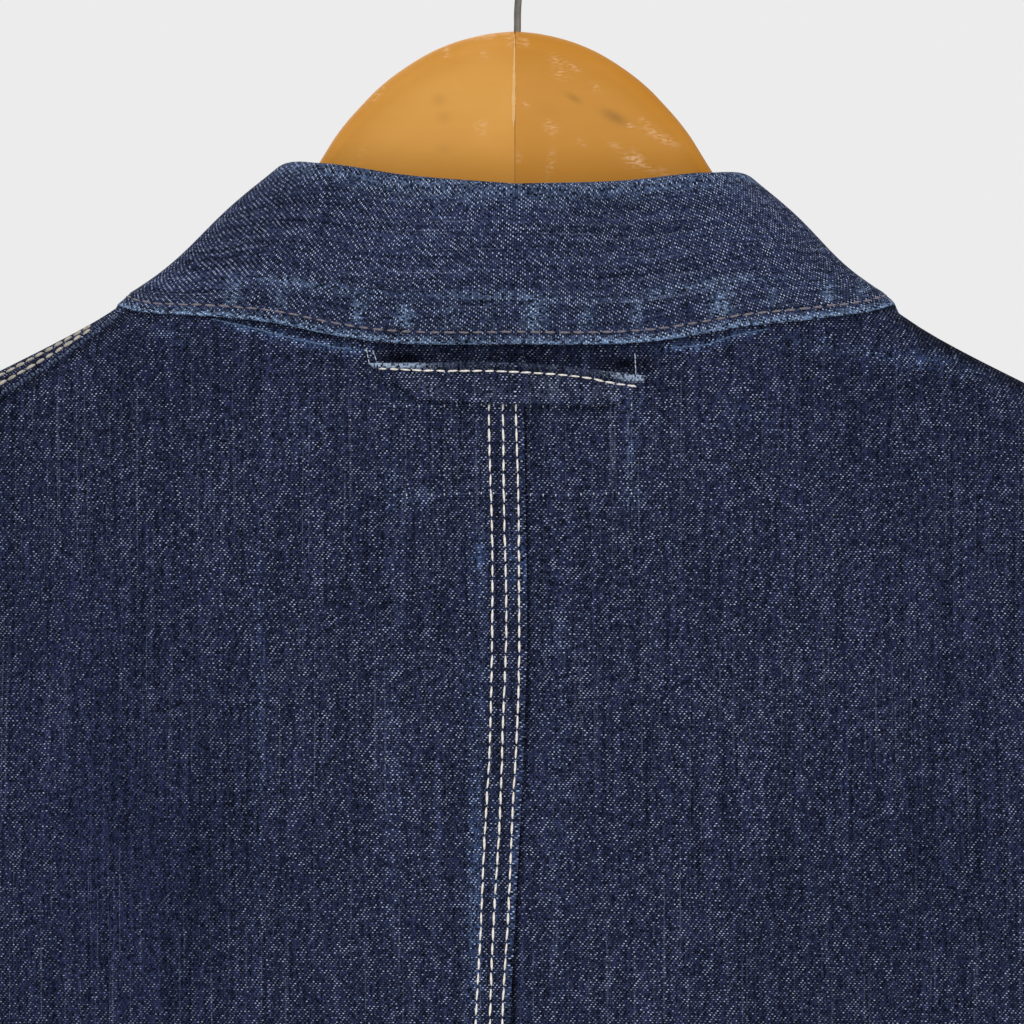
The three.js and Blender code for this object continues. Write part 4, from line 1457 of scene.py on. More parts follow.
@dataclass
class Collar:
    """A turned-down collar of doubled denim, cut along the warp: the leaf over the roll, the stand inside."""

    shell: BodyShell
    cloth: float = 2.4
    stand_cloth: float = 1.6
    body_cloth: float = 1.4
    roll_radius: float = 2.6
    roll_tilt: float = 1.45
    inside: float = 7.0
    bulge: float = 1.5
    off: float = 2.8
    corner_off: float = 1.5
    corner_bulge: float = -0.9
    corner_wave: float = 0.9
    stand_gap: float = 0.75
    spans: int = 7
    stations: int = 170
    roll_steps: int = 11
    leaf_rows: int = 40
    stand_rows: int = 7
    neck_y: float = -18.0
    left_spread: float = 0.026
    right_spread: float = -0.02
    stitch_in: float = 3.0
    roll: Spline = Spline([(0, 15.8, -109.8), (29, 14.6, -108.2), (54, 8.8, -105.2), (65, -9, -106.7),
        (63, -27, -124), (47, -38, -152), (26, -45, -182), (5, -49, -205)])
    edge: Spline = Spline([(0, 60.7), (40, 46.4), (76, 24.6), (107, 0), (113, -15), (107, -42), (94, -78),
        (75, -119)], even=True)

    def _corner(self, at: Array) -> Array:
        """How near a station is to the side of the neck, where the leaf lies flat on the shoulder."""
        return smooth((at - 1.5) / 1.3) * smooth((5.6 - at) / 1.4)

    def _corners(self) -> Array:
        """The same for every station, from the right front end to the left."""
        one = self._corner(np.linspace(0, self.spans, self.stations + 1))
        return np.concatenate([one[:0:-1], one])[:, None]

    def _lines(self, side: Side) -> tuple[Array, Array, Array]:
        """Lays out one side, from the centre back to the front end.

        Args:
            side: Which side.

        Returns:
            The collar's seam, roll and edge.
        """
        s = self.shell
        at = np.linspace(0, self.spans, self.stations + 1)
        back, front = NECKLINE[Face.BACK](at / 3), NECKLINE[Face.FRONT](1 - 0.2 * (at - 3))
        seam = []
        for face, flat in ((Face.BACK, back), (Face.FRONT, front)):
            p = s.point(face, side.value * flat[:, 0], flat[:, 1])
            seam.append(p - s.normal(face, p) * self.body_cloth / 2)
        seam = np.where((at <= 3)[:, None], *seam)
        mirror = np.array([side.value, 1, 1])
        roll = self.roll(at / self.spans)
        roll[:, 2] += side.value * self.roll_tilt * np.clip(roll[:, 0] / 60, 0, 1)
        flat = self.edge(at / self.spans)
        spread = self.left_spread if side is Side.LEFT else self.right_spread
        flat[:, 0] *= 1 + spread * self._corner(at)
        edges = []
        for face in (Face.BACK, Face.FRONT):
            x = side.value * flat[:, 0]
            p = s.point(face, x, s.ridge_z(x) - np.abs(flat[:, 1]))
            edges.append(p + s.normal(face, p) * lerp(self.off, self.corner_off, self._corner(at))[:, None])
        edge = np.where((flat[:, 1] >= 0)[:, None], *edges)
        return seam, roll * mirror, edge

    def _sections(self) -> tuple[Array, Array, Array]:
        """Lays out the sections, station by station from the right front end to the left.

        Returns:
            The leaf's points, the stand's points, and the stand's outward directions.
        """
        parts = [self._lines(Side.RIGHT), self._lines(Side.LEFT)]
        seam, roll, edge = (np.concatenate([r[:0:-1], l]) for r, l in zip(*parts))
        up = np.array([0.0, 0.0, 1.0])
        ahead = np.gradient(roll, axis=0)
        out = np.cross(ahead, up)
        out[:, 2] = 0
        out = unit(out)
        out[np.einsum("ij,ij->i", out, roll - np.array([0, self.neck_y, 0])) < 0] *= -1
        heart = roll - up * self.roll_radius
        inside = heart - out * self.roll_radius
        down = seam - inside
        reach = np.linalg.norm(down, axis=1, keepdims=True)
        down = down / reach
        in_seam = inside + down * np.minimum(self.inside, reach / 2)
        leaf = [lerp(in_seam, inside, t) for t in (0, 0.33, 0.67)]
        # The leaf leaves the roll where the roll already points at the edge, so no kink shows.
        level, rise = np.einsum("ij,ij->i", edge - heart, out), (edge - heart)[:, 2]
        leave = np.arctan2(rise, level) + np.arccos(np.clip(self.roll_radius / np.hypot(level, rise), -1, 1))
        for share in np.linspace(0, 1, self.roll_steps):
            turn = lerp(math.pi, leave, share)[:, None]
            aside, above = self.roll_radius * np.cos(turn), self.roll_radius * np.sin(turn)
            leaf.append(heart + out * aside + up * above)
        outside = leaf[-1]
        one = self._corners()
        much = lerp(self.bulge, self.corner_bulge, one)
        for share in np.linspace(0, 1, self.leaf_rows + 1)[1:]:
            bulge = much * math.sin(math.pi * share) + self.corner_wave * one * math.sin(2 * math.pi * share)
            leaf.append(lerp(outside, edge, share) + out * bulge + up * (bulge / 2))
        foot, head = seam - down * self.stand_gap, in_seam + down * self.stand_gap
        stand = np.stack([lerp(foot, head, t) for t in np.linspace(0, 1, self.stand_rows)], 1)
        stand_out = unit(out - down * np.einsum("ij,ij->i", out, down)[:, None])
        return np.stack(leaf, 1), stand, stand_out

    def build(self, material: Material) -> list[Object]:
        """Args:
            material: Denim with the warp along the collar.

        Returns:
            The two pieces.
        """
        leaf, stand, stand_out = self._sections()
        normals = grid_normals(leaf)
        middle = len(leaf) // 2
        if normals[middle, -1, 1] < 0:
            normals = -normals
        steps = np.linalg.norm(np.diff(leaf, axis=1), axis=-1)
        up_from_edge = np.concatenate([np.cumsum(steps[:, ::-1], 1)[:, ::-1], np.zeros((len(leaf), 1))], 1)
        along = run_along(leaf, 0)
        run = along[:, -8:-7] - along[middle, -8]
        x = leaf[..., 0]
        on_back = smooth((leaf[..., 1] + 2) / 6)
        # Roping: the doubled edge draws up in slanting puckers between the stitches and the edge.
        rope = np.sin((run + 0.6 * up_from_edge) / 1.15) * hill(up_from_edge, 2.0, 2.0) * 0.16
        ripple = sum(much * hill(x, at, 0.6 * wide) * smooth((up_from_edge - 3.2) / 1.4)
            * smooth((12.5 - up_from_edge) / 4) for at, wide, much in COLLAR_PUCKERS)
        groove = -0.4 * hill(up_from_edge, self.stitch_in, 0.7)
        soft = 0.5 * np.sin(run / 23 + 0.8) * hill(up_from_edge, 22, 16)
        raised = rope + 0.55 * ripple + groove + soft * on_back
        near = lerp(0.55, 0.3, self._corners())
        pressed = self.cloth / 2 * lerp(near, 1.0, smooth(up_from_edge / 3.5))
        outer = leaf + normals * (pressed + raised)[..., None]
        inner = leaf - normals * pressed[..., None]
        cut = np.stack([up_from_edge, np.broadcast_to(run, up_from_edge.shape)], -1)
        wear = 0.8 * hill(up_from_edge, 0.3, 0.9) + 0.3 * hill(up_from_edge, 0.1, 0.4)
        wear = wear + 0.9 * np.maximum(ripple, 0)
        # A soft crease runs along the leaf above the puckers.
        crease = hill(up_from_edge, 12.8 + 0.7 * np.sin(run / 13), 1.1)
        wear = wear + 0.36 * (crease * (0.55 + 0.45 * np.sin(run / 9.1 + 1.2))) * on_back
        total = up_from_edge.max(1, keepdims=True)
        fold = total - self.inside - math.pi * self.roll_radius / 2
        wear = wear + 0.3 * hill(up_from_edge, fold - 1.5, 3.6)
        shade = 0.10 * np.sin(run / 17) * hill(up_from_edge, 30, 20) - 0.12 * hill(up_from_edge, 5.4, 1.6)
        self.normals, self.outer, self.up = normals, outer, up_from_edge
        marks = {"wear": np.clip(wear, 0, 1), "shade": shade}
        wall = Wall(outer, inner, cut, marks, rim=5)
        piece = link("collar_leaf", wall.mesh("collar_leaf"), material)
        size = np.ptp(cut[..., 0]) * MM, np.ptp(cut[..., 1]) * MM
        dress(piece, ["collar_leaf"], Cut(*size, grid_area(leaf), ["collar_stand"],
            Held.FOLDED))
        # The stand is plain cloth inside the neck.
        out = np.broadcast_to(stand_out[:, None], stand.shape)
        tall, length = run_along(stand, 1), run_along(stand, 0)
        cut = np.stack([tall, length], -1)
        half = self.stand_cloth / 2
        wall = Wall(stand + out * half, stand - out * half, cut)
        inner_piece = link("collar_stand", wall.mesh("collar_stand"), material)
        size = np.ptp(tall) * MM, np.ptp(length) * MM
        cut_size = Cut(*size, grid_area(stand), ["back_left", "back_right", "front_left", "front_right"])
        dress(inner_piece, ["collar_stand"], cut_size)
        return [piece, inner_piece]

    def row(self) -> Row:
        """Follows the leaf's edge, a little in from it.

        Returns:
            The row of stitches.
        """
        inside = self.up < self.stitch_in
        last = inside.argmax(1)
        i = np.arange(len(last))
        t = (self.up[i, last - 1] - self.stitch_in) / (self.up[i, last - 1] - self.up[i, last])
        points = lerp(self.outer[i, last - 1], self.outer[i, last], t[:, None])
        return Row(points[4:-4], self.normals[i, last][4:-4])


# Puckers along the collar's lower edge on the back: place across, half width, how much.
COLLAR_PUCKERS = ((78.2, 3.2, 0.55), (65.2, 3.0, 0.34), (43.4, 2.8, 0.6), (30.7, 3.4, 0.75), (18, 2.6, 0.3),
    (7, 2.0, 0.25), (-5.2, 4.0, 0.78), (-20, 2.4, 0.3), (-33.8, 2.2, 0.48), (-57.2, 4.4, 0.76),
    (-72, 2.2, 0.2), (-86.7, 3.2, 0.5), (-96, 2.6, 0.3))


# Rubbed places on the hang loop, in shares along and down it, in the same order.
LOOP_WEAR = ((0.12, 0.7, 0.05, 0.3, 0.08), (0.38, 0.75, 0.05, 0.25, 0.08), (0.60, 0.6, 0.06, 0.35, 0.15),
    (0.86, 0.6, 0.07, 0.3, 0.12))


@dataclass
class HangLoop:
    """A folded strip of denim sewn on at both ends below the collar."""

    shell: BodyShell
    cloth: float = 1.6
    stand_off: float = 5.0
    lower_off: float = 1.6
    sewn: float = 0.5
    columns: int = 96
    rows: int = 16
    stitch_in: float = 1.9
    top: Spline = Spline([(40, -158.9), (22, -159.2), (6, -159.2), (-11, -160.2), (-23, -161.4),
        (-36, -162.6)], even=True)
    bottom: Spline = Spline([(27, -168.4), (14, -169), (-1, -169.4), (-16, -169.8), (-29, -169.6)], even=True)

    def build(self, material: Material) -> Object:
        """Args:
            material: Its denim.

        Returns:
            The piece.
        """
        along = np.linspace(0, 1, self.columns + 1)
        down = np.linspace(0, 1, self.rows + 1)[:, None]
        flat = lerp(self.top(along)[None], self.bottom(along)[None], down[..., None])
        base = self.shell.point(Face.BACK, flat[..., 0], flat[..., 1])
        out = self.shell.normal(Face.BACK, base)
        free = smooth(np.minimum(along, 1 - along) / 0.22)
        off = lerp(self.sewn, lerp(self.stand_off, self.lower_off, smooth(down)), free) + self.cloth
        fall, run = run_along(flat, 0), run_along(flat, 1)
        raised = -0.25 * hill(fall, self.stitch_in, 0.7)
        grid = base + out * (off + raised)[..., None]
        cut = self.shell.cut(Face.BACK, flat[..., 0], flat[..., 1])
        ends = hill(along, 0.06, 0.09) + hill(along, 0.97, 0.10)
        wear = hill(fall, 0.2, 1.0) * (0.1 + 2.2 * ends) + spots(along, down, LOOP_WEAR)
        shade = -0.2 * hill(fall, 1.0, 1.3) * (1 - ends) + 0.14 * smooth((fall - 2.6) / 1.5)
        flat_weave = 0.5 * hill(fall, 0.6, 1.6) - 0.45 * smooth((fall - 2.6) / 1.5)
        self.grid, self.out, self.fall = grid, out, fall
        marks = {"wear": np.clip(wear, 0, 2.4), "shade": shade, "flat": flat_weave}
        wall = Wall(grid, grid - out * self.cloth, cut, marks, rim=3)
        piece = link("hang_loop", wall.mesh("hang_loop"), material)
        size = Cut(np.ptp(run) * MM, np.ptp(fall) * MM, grid_area(grid), ["back_left", "back_right"])
        return dress(piece, ["hang_loop"], size)

    def row(self) -> Row:
        """Follows the loop's folded top edge.

        Returns:
            The row of stitches.
        """
        along = np.linspace(0, 1, self.columns + 1)
        at = (self.stitch_in + 1.5 * smooth((along - 0.72) / 0.28)) / self.fall[-1] * self.rows
        i, column = at.astype(int), np.arange(self.columns + 1)
        points = lerp(self.grid[i, column], self.grid[i + 1, column], (at - i)[:, None])
        return Row(points[3:-3], self.out[i, column][3:-3])


@dataclass
class Hanger:
    """Two halves of a contoured wooden board, glued at the centre, and a wire hook."""

    shell: BodyShell
    half: float = 222.0
    dome_top: float = -66.0
    dome_end: float = 80.0
    dome_half: float = 60.0
    dome_left: float = 1.022
    below_ridge: float = 2.5
    joint: float = 0.3
    edge_round: float = 0.85
    end_round: float = 16.0
    end_thin: float = 0.2
    dome_rows: int = 61
    arm_rows: int = 60
    end_rows: int = 14
    corner: int = 8
    flat_rows: int = 90
    bore: float = 30.0
    hook_inside: float = 21.0
    wire: float = 1.5
    drawn: float = 1.0
    hook_steps: int = 180
    hook_sides: int = 16
    glue_steps: int = 25
    glue_half: float = 0.16
    bottom: Through = Through((0, -158), (40, -160), (80, -172), (108, -188), (143, -206), (190, -224),
        (222, -234))
    thick: Through = Through((0, 6.4), (60, 6.2), (110, 5.3), (222, 5.2))
    dome: Through = Through((0, -65.9), (5.6, -66.4), (10, -67.2), (15.3, -68.6), (21.2, -70.9),
        (25.4, -73.1), (32.2, -77.6), (37.5, -82), (41.8, -86.5), (45.7, -90.9), (49, -95.3), (51.8, -99.8),
        (54.4, -104), (58.5, -110), (66, -119), (80, -126.5))

    def top(self, side: Side, x: Array) -> Array:
        """The board's upper edge: a dome that runs out into the arms.

        Args:
            side: Which half.
            x: Distances from the joint.

        Returns:
            Levels.
        """
        arm = self.shell.ridge_z(side.value * np.maximum(x, self.dome_end)) - self.below_ridge
        wide = self.dome_left if side is Side.LEFT else 1.0
        return np.where(x < self.dome_end, self.dome(x / lerp(wide, 1.0, smooth((x - 50) / 30))), arm)

    def _rings(self, side: Side) -> tuple[Array, Array]:
        """Lays out rounded sections, from the glued joint out to the arm's end.

        Args:
            side: Which half.

        Returns:
            Points by section and place round it, and the level of the upper edge at each section.
        """
        x = np.concatenate([lerp(self.joint / 2, self.dome_half, np.linspace(0, 1, self.dome_rows)),
            np.linspace(self.dome_half, self.half - self.end_round, self.arm_rows)[1:],
            self.half - self.end_round * (1 - np.sin(np.linspace(0, math.pi / 2, self.end_rows)[1:]))])
        near = np.maximum(0, (x - self.half + self.end_round) / self.end_round)
        close = np.sqrt(np.maximum(1 - near**2, self.end_thin**2))
        high, low = self.top(side, x), self.bottom(x)
        middle, tall = (high + low) / 2, (high - low) / 2 * close
        thick = self.thick(x) * np.sqrt(close)
        edge = self.edge_round * thick
        rings = []
        for quarter, (out_y, out_z) in enumerate(((1, 1), (-1, 1), (-1, -1), (1, -1))):
            for turn in np.radians(np.linspace(90 * quarter, 90 * quarter + 90, self.corner)):
                y = out_y * (thick - edge) + edge * math.cos(turn)
                z = out_z * np.maximum(tall - edge, 0) + np.minimum(edge, tall) * math.sin(turn)
                rings.append(np.stack([x, self.shell.ridge_y(x) + y, middle + z], -1))
            if out_y != out_z:
                start = rings[-1]
                stop = start.copy()
                stop[:, 2] = middle - out_z * np.maximum(tall - edge, 0)
                for share in np.linspace(0, 1, self.flat_rows + 2)[1:-1]:
                    rings.append(lerp(start, stop, share))
        return np.stack(rings, 1), high

    def board(self, side: Side, material: Material) -> Object:
        """Makes one half of the board.

        Args:
            side: Which half.
            material: Its varnished wood.

        Returns:
            The piece.
        """
        rings, high = self._rings(side)
        rings = rings * np.array([side.value, 1, 1])
        points, faces = tube(rings, rings[[0, -1]].mean(1))
        depth = np.append(np.repeat(high, rings.shape[1]), high[[0, -1]]) - points[:, 2]
        # Darker along the upper edge, and more so on the right half as painted shade.
        stain_and_shade = (0.45 if side is Side.LEFT else 0.62) * hill(depth, 0, 8.0)
        # Painted shade: the board darkens towards its bottom, next to the collar.
        stain_and_shade = stain_and_shade + 0.45 * smooth((-points[:, 2] - 94) / 16)
        grime, scuff = strokes(points, SMUDGES), strokes(points, SCUFFS)
        name = f"hanger_board_{side.name.lower()}"
        mesh = make_mesh(name, points, faces, marks={"stain_and_shade": stain_and_shade, "grime": np.clip(grime, 0, 0.8),
            "scuff": scuff})
        return dress(link(name, mesh, material), [name])

    def face_y(self, x: Array) -> Array:
        """The level of the board's flat back face."""
        return self.shell.ridge_y(np.abs(x)) + self.thick(np.abs(x))

    def squeezed_glue(self, material: Material) -> Object:
        """Makes the dry glue that was squeezed out of the joint, in thin strokes on the board's back.

        Args:
            material: The glue's finish.

        Returns:
            The piece.
        """
        points, faces = [], []
        k = np.arange(self.glue_steps)
        t = k / k[-1]
        for number, (x0, z0, x1, z1, wide) in enumerate(GLUE_STROKES):
            thick = 0.05 + 0.03 * number
            run = math.hypot(x1 - x0, z1 - z0)
            ragged = 0.9 + 0.12 * np.sin(2.3 * k + 3 * number) + 0.08 * np.sin(5.7 * k)
            half = wide * np.maximum(0.15, np.sin(math.pi * t) ** 0.6) * ragged
            corners = []
            for lift, sign in ((thick, 1), (thick, -1), (-0.3, -1), (-0.3, 1)):
                x = lerp(x0, x1, t) - sign * (z1 - z0) / run * half
                z = lerp(z0, z1, t) + sign * (x1 - x0) / run * half
                corners.append(np.stack([x, self.face_y(x) + lift, z], -1))
            stroke, sides = tube(np.stack(corners, 1))
            faces += [[i + sum(map(len, points)) for i in face] for face in sides]
            points.append(stroke)
        piece = link("glue_line", make_mesh("glue_line", np.concatenate(points), faces), material)
        return dress(piece, [])

    def glue(self, material: Material) -> Object:
        """Fills the joint between the halves with a thin layer of glue, a hair below the surface.

        Args:
            material: The glue.

        Returns:
            The piece.
        """
        ring = self._rings(Side.LEFT)[0][0]
        middle = ring.mean(0)
        ring = (middle + (ring - middle) * 0.988) * [0, 1, 1]
        rings = np.stack([ring + [x, 0, 0] for x in (-self.glue_half, self.glue_half)])
        points, faces = tube(rings, rings.mean(1))
        piece = link("glue_joint", make_mesh("glue_joint", points, faces), material)
        return dress(piece, [])

    def hook(self, material: Material) -> Object:
        """Makes the wire hook: a straight shank out of the board, and a round hook over the rail.

        Args:
            material: Its steel wire.

        Returns:
            The piece.
        """
        r = self.hook_inside + self.wire
        top = self.dome_top
        route = [(-0.5, 0, top - self.bore + 2), (-0.7, 0, top), (-0.9, 0, top + 8), (-2, 0, top + 15)]
        for degrees in range(35, 291, 15):
            a = math.radians(degrees)
            route.append((-r * math.sin(a), 0, -self.hook_inside - r * math.cos(a)))
        step = np.arange(self.hook_steps + 1)
        path = Spline(route)(step / self.hook_steps)
        ahead = unit(np.gradient(path, axis=0))
        across = np.array([0.0, 1.0, 0.0])
        other = np.cross(ahead, across)
        turn = np.linspace(0, 2 * math.pi, self.hook_sides + 1)[:-1]
        end = np.minimum(step, self.hook_steps - step)
        radius = self.drawn * np.sqrt(np.clip((end + 0.6) / 3, 0, 1))
        rings = path[:, None] + radius[:, None, None] * (np.cos(turn)[None, :, None] * across
            + np.sin(turn)[None, :, None] * other[:, None])
        piece = link("hanger_hook", make_mesh("hanger_hook", *tube(rings)), material)
        return dress(piece, ["hanger_hook"])


# Scuffs through the varnish on the back of the board: place across and up, half length and half width,
# the direction in degrees, how much.
SCUFFS = ((19.0, -71.8, 2.0, 0.7, 95, 0.8), (8.9, -72.4, 1.4, 1.0, 20, 0.55),
    (-11.9, -74.3, 2.0, 1.0, 20, 0.9), (-16.4, -75.8, 1.8, 0.9, 25, 0.8), (-12.8, -77.8, 2.2, 1.3, 25, 0.75),
    (-22.2, -81.7, 1.0, 0.9, 10, 1.0), (-10.0, -92.7, 1.8, 1.5, 70, 0.95), (-3.1, -86.6, 1.2, 0.7, 30, 0.7),
    (9.2, -92.7, 2.2, 1.6, 60, 0.6), (-32.2, -92.4, 1.0, 0.8, 30, 0.9), (-36.1, -91.0, 1.3, 0.7, 30, 0.7),
    (-40.4, -95.2, 4.8, 1.1, 28, 1.0), (-27.5, -97.7, 2.4, 0.9, 30, 0.55), (-33.1, -101.5, 2.4, 1.9, 20, 1.0),
    (-36.2, -103.6, 4.4, 0.8, 26, 0.7), (-42.4, -105.4, 2.4, 0.7, 25, 0.6), (-18.6, -97.1, 1.1, 0.7, 40, 0.6),
    (-10.0, -102.4, 3.2, 0.8, 100, 0.8), (-0.8, -101.3, 1.6, 0.8, 100, 0.55),
    (42.6, -100.0, 2.2, 0.6, 95, 0.5), (0.6, -68.4, 1.8, 1.5, 60, 0.8), (-3.0, -69.0, 1.4, 1.0, 40, 0.6),
    (8.0, -67.4, 5.0, 0.7, -6, 0.6), (38.4, -83.6, 3.4, 0.8, -48, 0.6))

# Dry glue along the joint: start and end of each stroke across and up, and its half width.
GLUE_STROKES = ((0.1, -66.6, 0.15, -84.0, 0.26), (0.2, -72.0, 0.35, -92.0, 0.45),
    (0.35, -80.0, 0.4, -92.6, 0.6))

# Soft smudges of grime: place across and up, half length and half width, direction in degrees, how much.
SMUDGES = ((-16.4, -84.6, 2.4, 0.9, 28, 0.42), (-27.8, -89.9, 3.8, 1.4, 26, 0.55),
    (21.1, -84.9, 1.7, 1.4, 0, 0.22), (19.7, -89.9, 1.4, 1.3, 0, 0.20), (19.7, -98.8, 1.6, 1.2, 0, 0.14),
    (-9.0, -88.0, 4.0, 2.0, 20, 0.08))


@dataclass
class Buttons:
    """Five shank buttons of stamped metal down the front."""

    shell: BodyShell
    radius: float = 8.5
    height: float = 4.0
    seat: float = 0.7
    top: float = -236.0
    step: float = 112.0
    count: int = 5
    around: int = 40

    def levels(self) -> list[float]:
        """The buttons' levels."""
        return [self.top - self.step * i for i in range(self.count)]

    def build(self, material: Material) -> list[Object]:
        """Makes the buttons: a rolled rim round a dished plain face.

        Args:
            material: Their metal.

        Returns:
            The pieces.
        """
        r, h = self.radius, self.height
        profile = [(0, 0), (0.5 * r, 0), (0.6 * r, 0.08 * h), (0.94 * r, 0.4 * h), (r, 0.5 * h),
            (r, 0.72 * h), (0.97 * r, 0.9 * h), (0.9 * r, h), (0.82 * r, 0.97 * h), (0.76 * r, 0.84 * h),
            (0.7 * r, 0.79 * h), (0.6 * r, 0.83 * h), (0.55 * r, 0.83 * h), (0.5 * r, 0.78 * h),
            (0.2 * r, 0.82 * h), (0, 0.83 * h)]
        turn = 2 * math.pi * np.arange(self.around)[:, None] / self.around
        radius, height = np.array(profile[1:-1])[..., None, None].transpose(1, 0, 2, 3)
        pieces = []
        for i, z in enumerate(self.levels()):
            seat = self.shell.point(Face.FRONT, 0.0, z)
            out = self.shell.normal(Face.FRONT, seat)
            side = unit(np.cross(out, [0.0, 0.0, 1.0]))
            seat = seat + out * self.seat
            ring = side * np.cos(turn) + np.cross(side, out) * np.sin(turn)
            points, faces = tube(seat + out * height + ring * radius, [seat, seat + out * profile[-1][1]])
            name = f"button_{i + 1}"
            piece = link(name, make_mesh(name, points, faces), material)
            pieces.append(dress(piece, [name]))
        return pieces


@dataclass
class StitchKind:
    """One kind of stitch in one thread.

    Attributes:
        name: The piece's name.
        thread: Its thread's finish.
        pitch: Distance from stitch to stitch, mm.
        length: Length of a stitch that shows, mm.
        width: Width of the thread, mm.
        sink: How far the stitch's middle lies above the cloth, mm.
        seed: Seed of the small differences from stitch to stitch.
    """

    name: str
    thread: CottonThread
    pitch: float
    length: float
    width: float
    sink: float = 0.05
    seed: int = 1


class Sewing:
    """The rows of stitches, set along the seams by a tree of geometry nodes."""

    def __init__(self) -> None:
        """Builds the tree that sets a stitch at every pitch along a path."""
        tree = self.tree = bpy.data.node_groups.new("stitches_along_path", "GeometryNodeTree")
        add = partial(add_node, tree, "")
        face = tree.interface
        face.new_socket("Path", in_out="INPUT", socket_type="NodeSocketGeometry")
        for word, kind in (("Pitch", "Float"), ("Length", "Float"), ("Width", "Float"), ("Sink", "Float"),
                ("Seed", "Int"), ("Thread", "Material")):
            face.new_socket(word, in_out="INPUT", socket_type=f"NodeSocket{kind}")
        face.new_socket("Stitches", in_out="OUTPUT", socket_type="NodeSocketGeometry")
        given = add("NodeGroupInput").outputs
        curve = add("GeometryNodeMeshToCurve", {"Mesh": given["Path"]})
        spaced = add("GeometryNodeResampleCurve", {"Curve": curve, "Length": given["Pitch"]}, mode="LENGTH")
        out = add("GeometryNodeInputNamedAttribute", {"Name": "out"}, data_type="FLOAT_VECTOR")
        lift = add("ShaderNodeVectorMath", {0: out, "Scale": given["Sink"]}, operation="SCALE")
        raised = add("GeometryNodeSetPosition", {"Geometry": spaced, "Offset": lift})
        ball = add("GeometryNodeMeshUVSphere", {"Segments": 6, "Rings": 5, "Radius": 0.5})
        size = add("ShaderNodeCombineXYZ", (given["Width"], given["Width"], given["Length"]))
        stitch = add("GeometryNodeTransform", {"Geometry": ball, "Scale": size})
        shaded = add("GeometryNodeSetShadeSmooth", {"Geometry": stitch})
        along = add("GeometryNodeInputTangent")
        aimed = add("FunctionNodeAlignRotationToVector", {"Vector": along}, axis="Z")
        jitter = add("FunctionNodeRandomValue", {0: (-0.07, -0.07, -0.07), 1: (0.07, 0.07, 0.07),
            "Seed": given["Seed"]}, data_type="FLOAT_VECTOR")
        turned = add("FunctionNodeRotateRotation", {"Rotation": aimed, "Rotate By": jitter})
        uneven = add("FunctionNodeRandomValue", {0: (0.85, 0.85, 0.86), 1: (1.12, 1.12, 1.08),
            "Seed": given["Seed"]}, data_type="FLOAT_VECTOR")
        placed = add("GeometryNodeInstanceOnPoints", {"Points": raised, "Instance": shaded,
            "Rotation": turned, "Scale": uneven})
        real = add("GeometryNodeRealizeInstances", {"Geometry": placed})
        finished = add("GeometryNodeSetMaterial", {"Geometry": real, "Material": given["Thread"]})
        add("NodeGroupOutput", {"Stitches": finished})

    def build(self, kind: StitchKind, rows: list[Row]) -> Object:
        """Sews rows of one kind of stitch.

        Args:
            kind: The stitch.
            rows: The rows.

        Returns:
            One piece with all the stitches.
        """
        points = np.concatenate([r.points for r in rows]) * MM
        edges, start = [], 0
        for row in rows:
            edges += [(start + k, start + k + 1) for k in range(len(row.points) - 1)]
            start += len(row.points)
        path = bpy.data.meshes.new(kind.name + "_path")
        path.from_pydata(points.tolist(), edges, [])
        out = np.concatenate([unit(r.out) for r in rows]).astype(np.float32)
        path.attributes.new("out", "FLOAT_VECTOR", "POINT").data.foreach_set("vector", out.ravel())
        guide = link(kind.name + "_path", path)
        modifier = guide.modifiers.new("stitches", "NODES")
        modifier.node_group = self.tree
        values = {"Pitch": kind.pitch * MM, "Length": kind.length * MM, "Width": kind.width * MM,
            "Sink": kind.sink * MM, "Seed": kind.seed, "Thread": kind.thread.material()}
        for item in self.tree.interface.items_tree:
            if item.name in values and item.in_out == "INPUT":
                modifier[item.identifier] = values[item.name]
        graph = bpy.context.evaluated_depsgraph_get()
        mesh = bpy.data.meshes.new_from_object(guide.evaluated_get(graph))
        mesh.name = kind.name
        bpy.data.objects.remove(guide)
        return dress(link(kind.name, mesh), [])


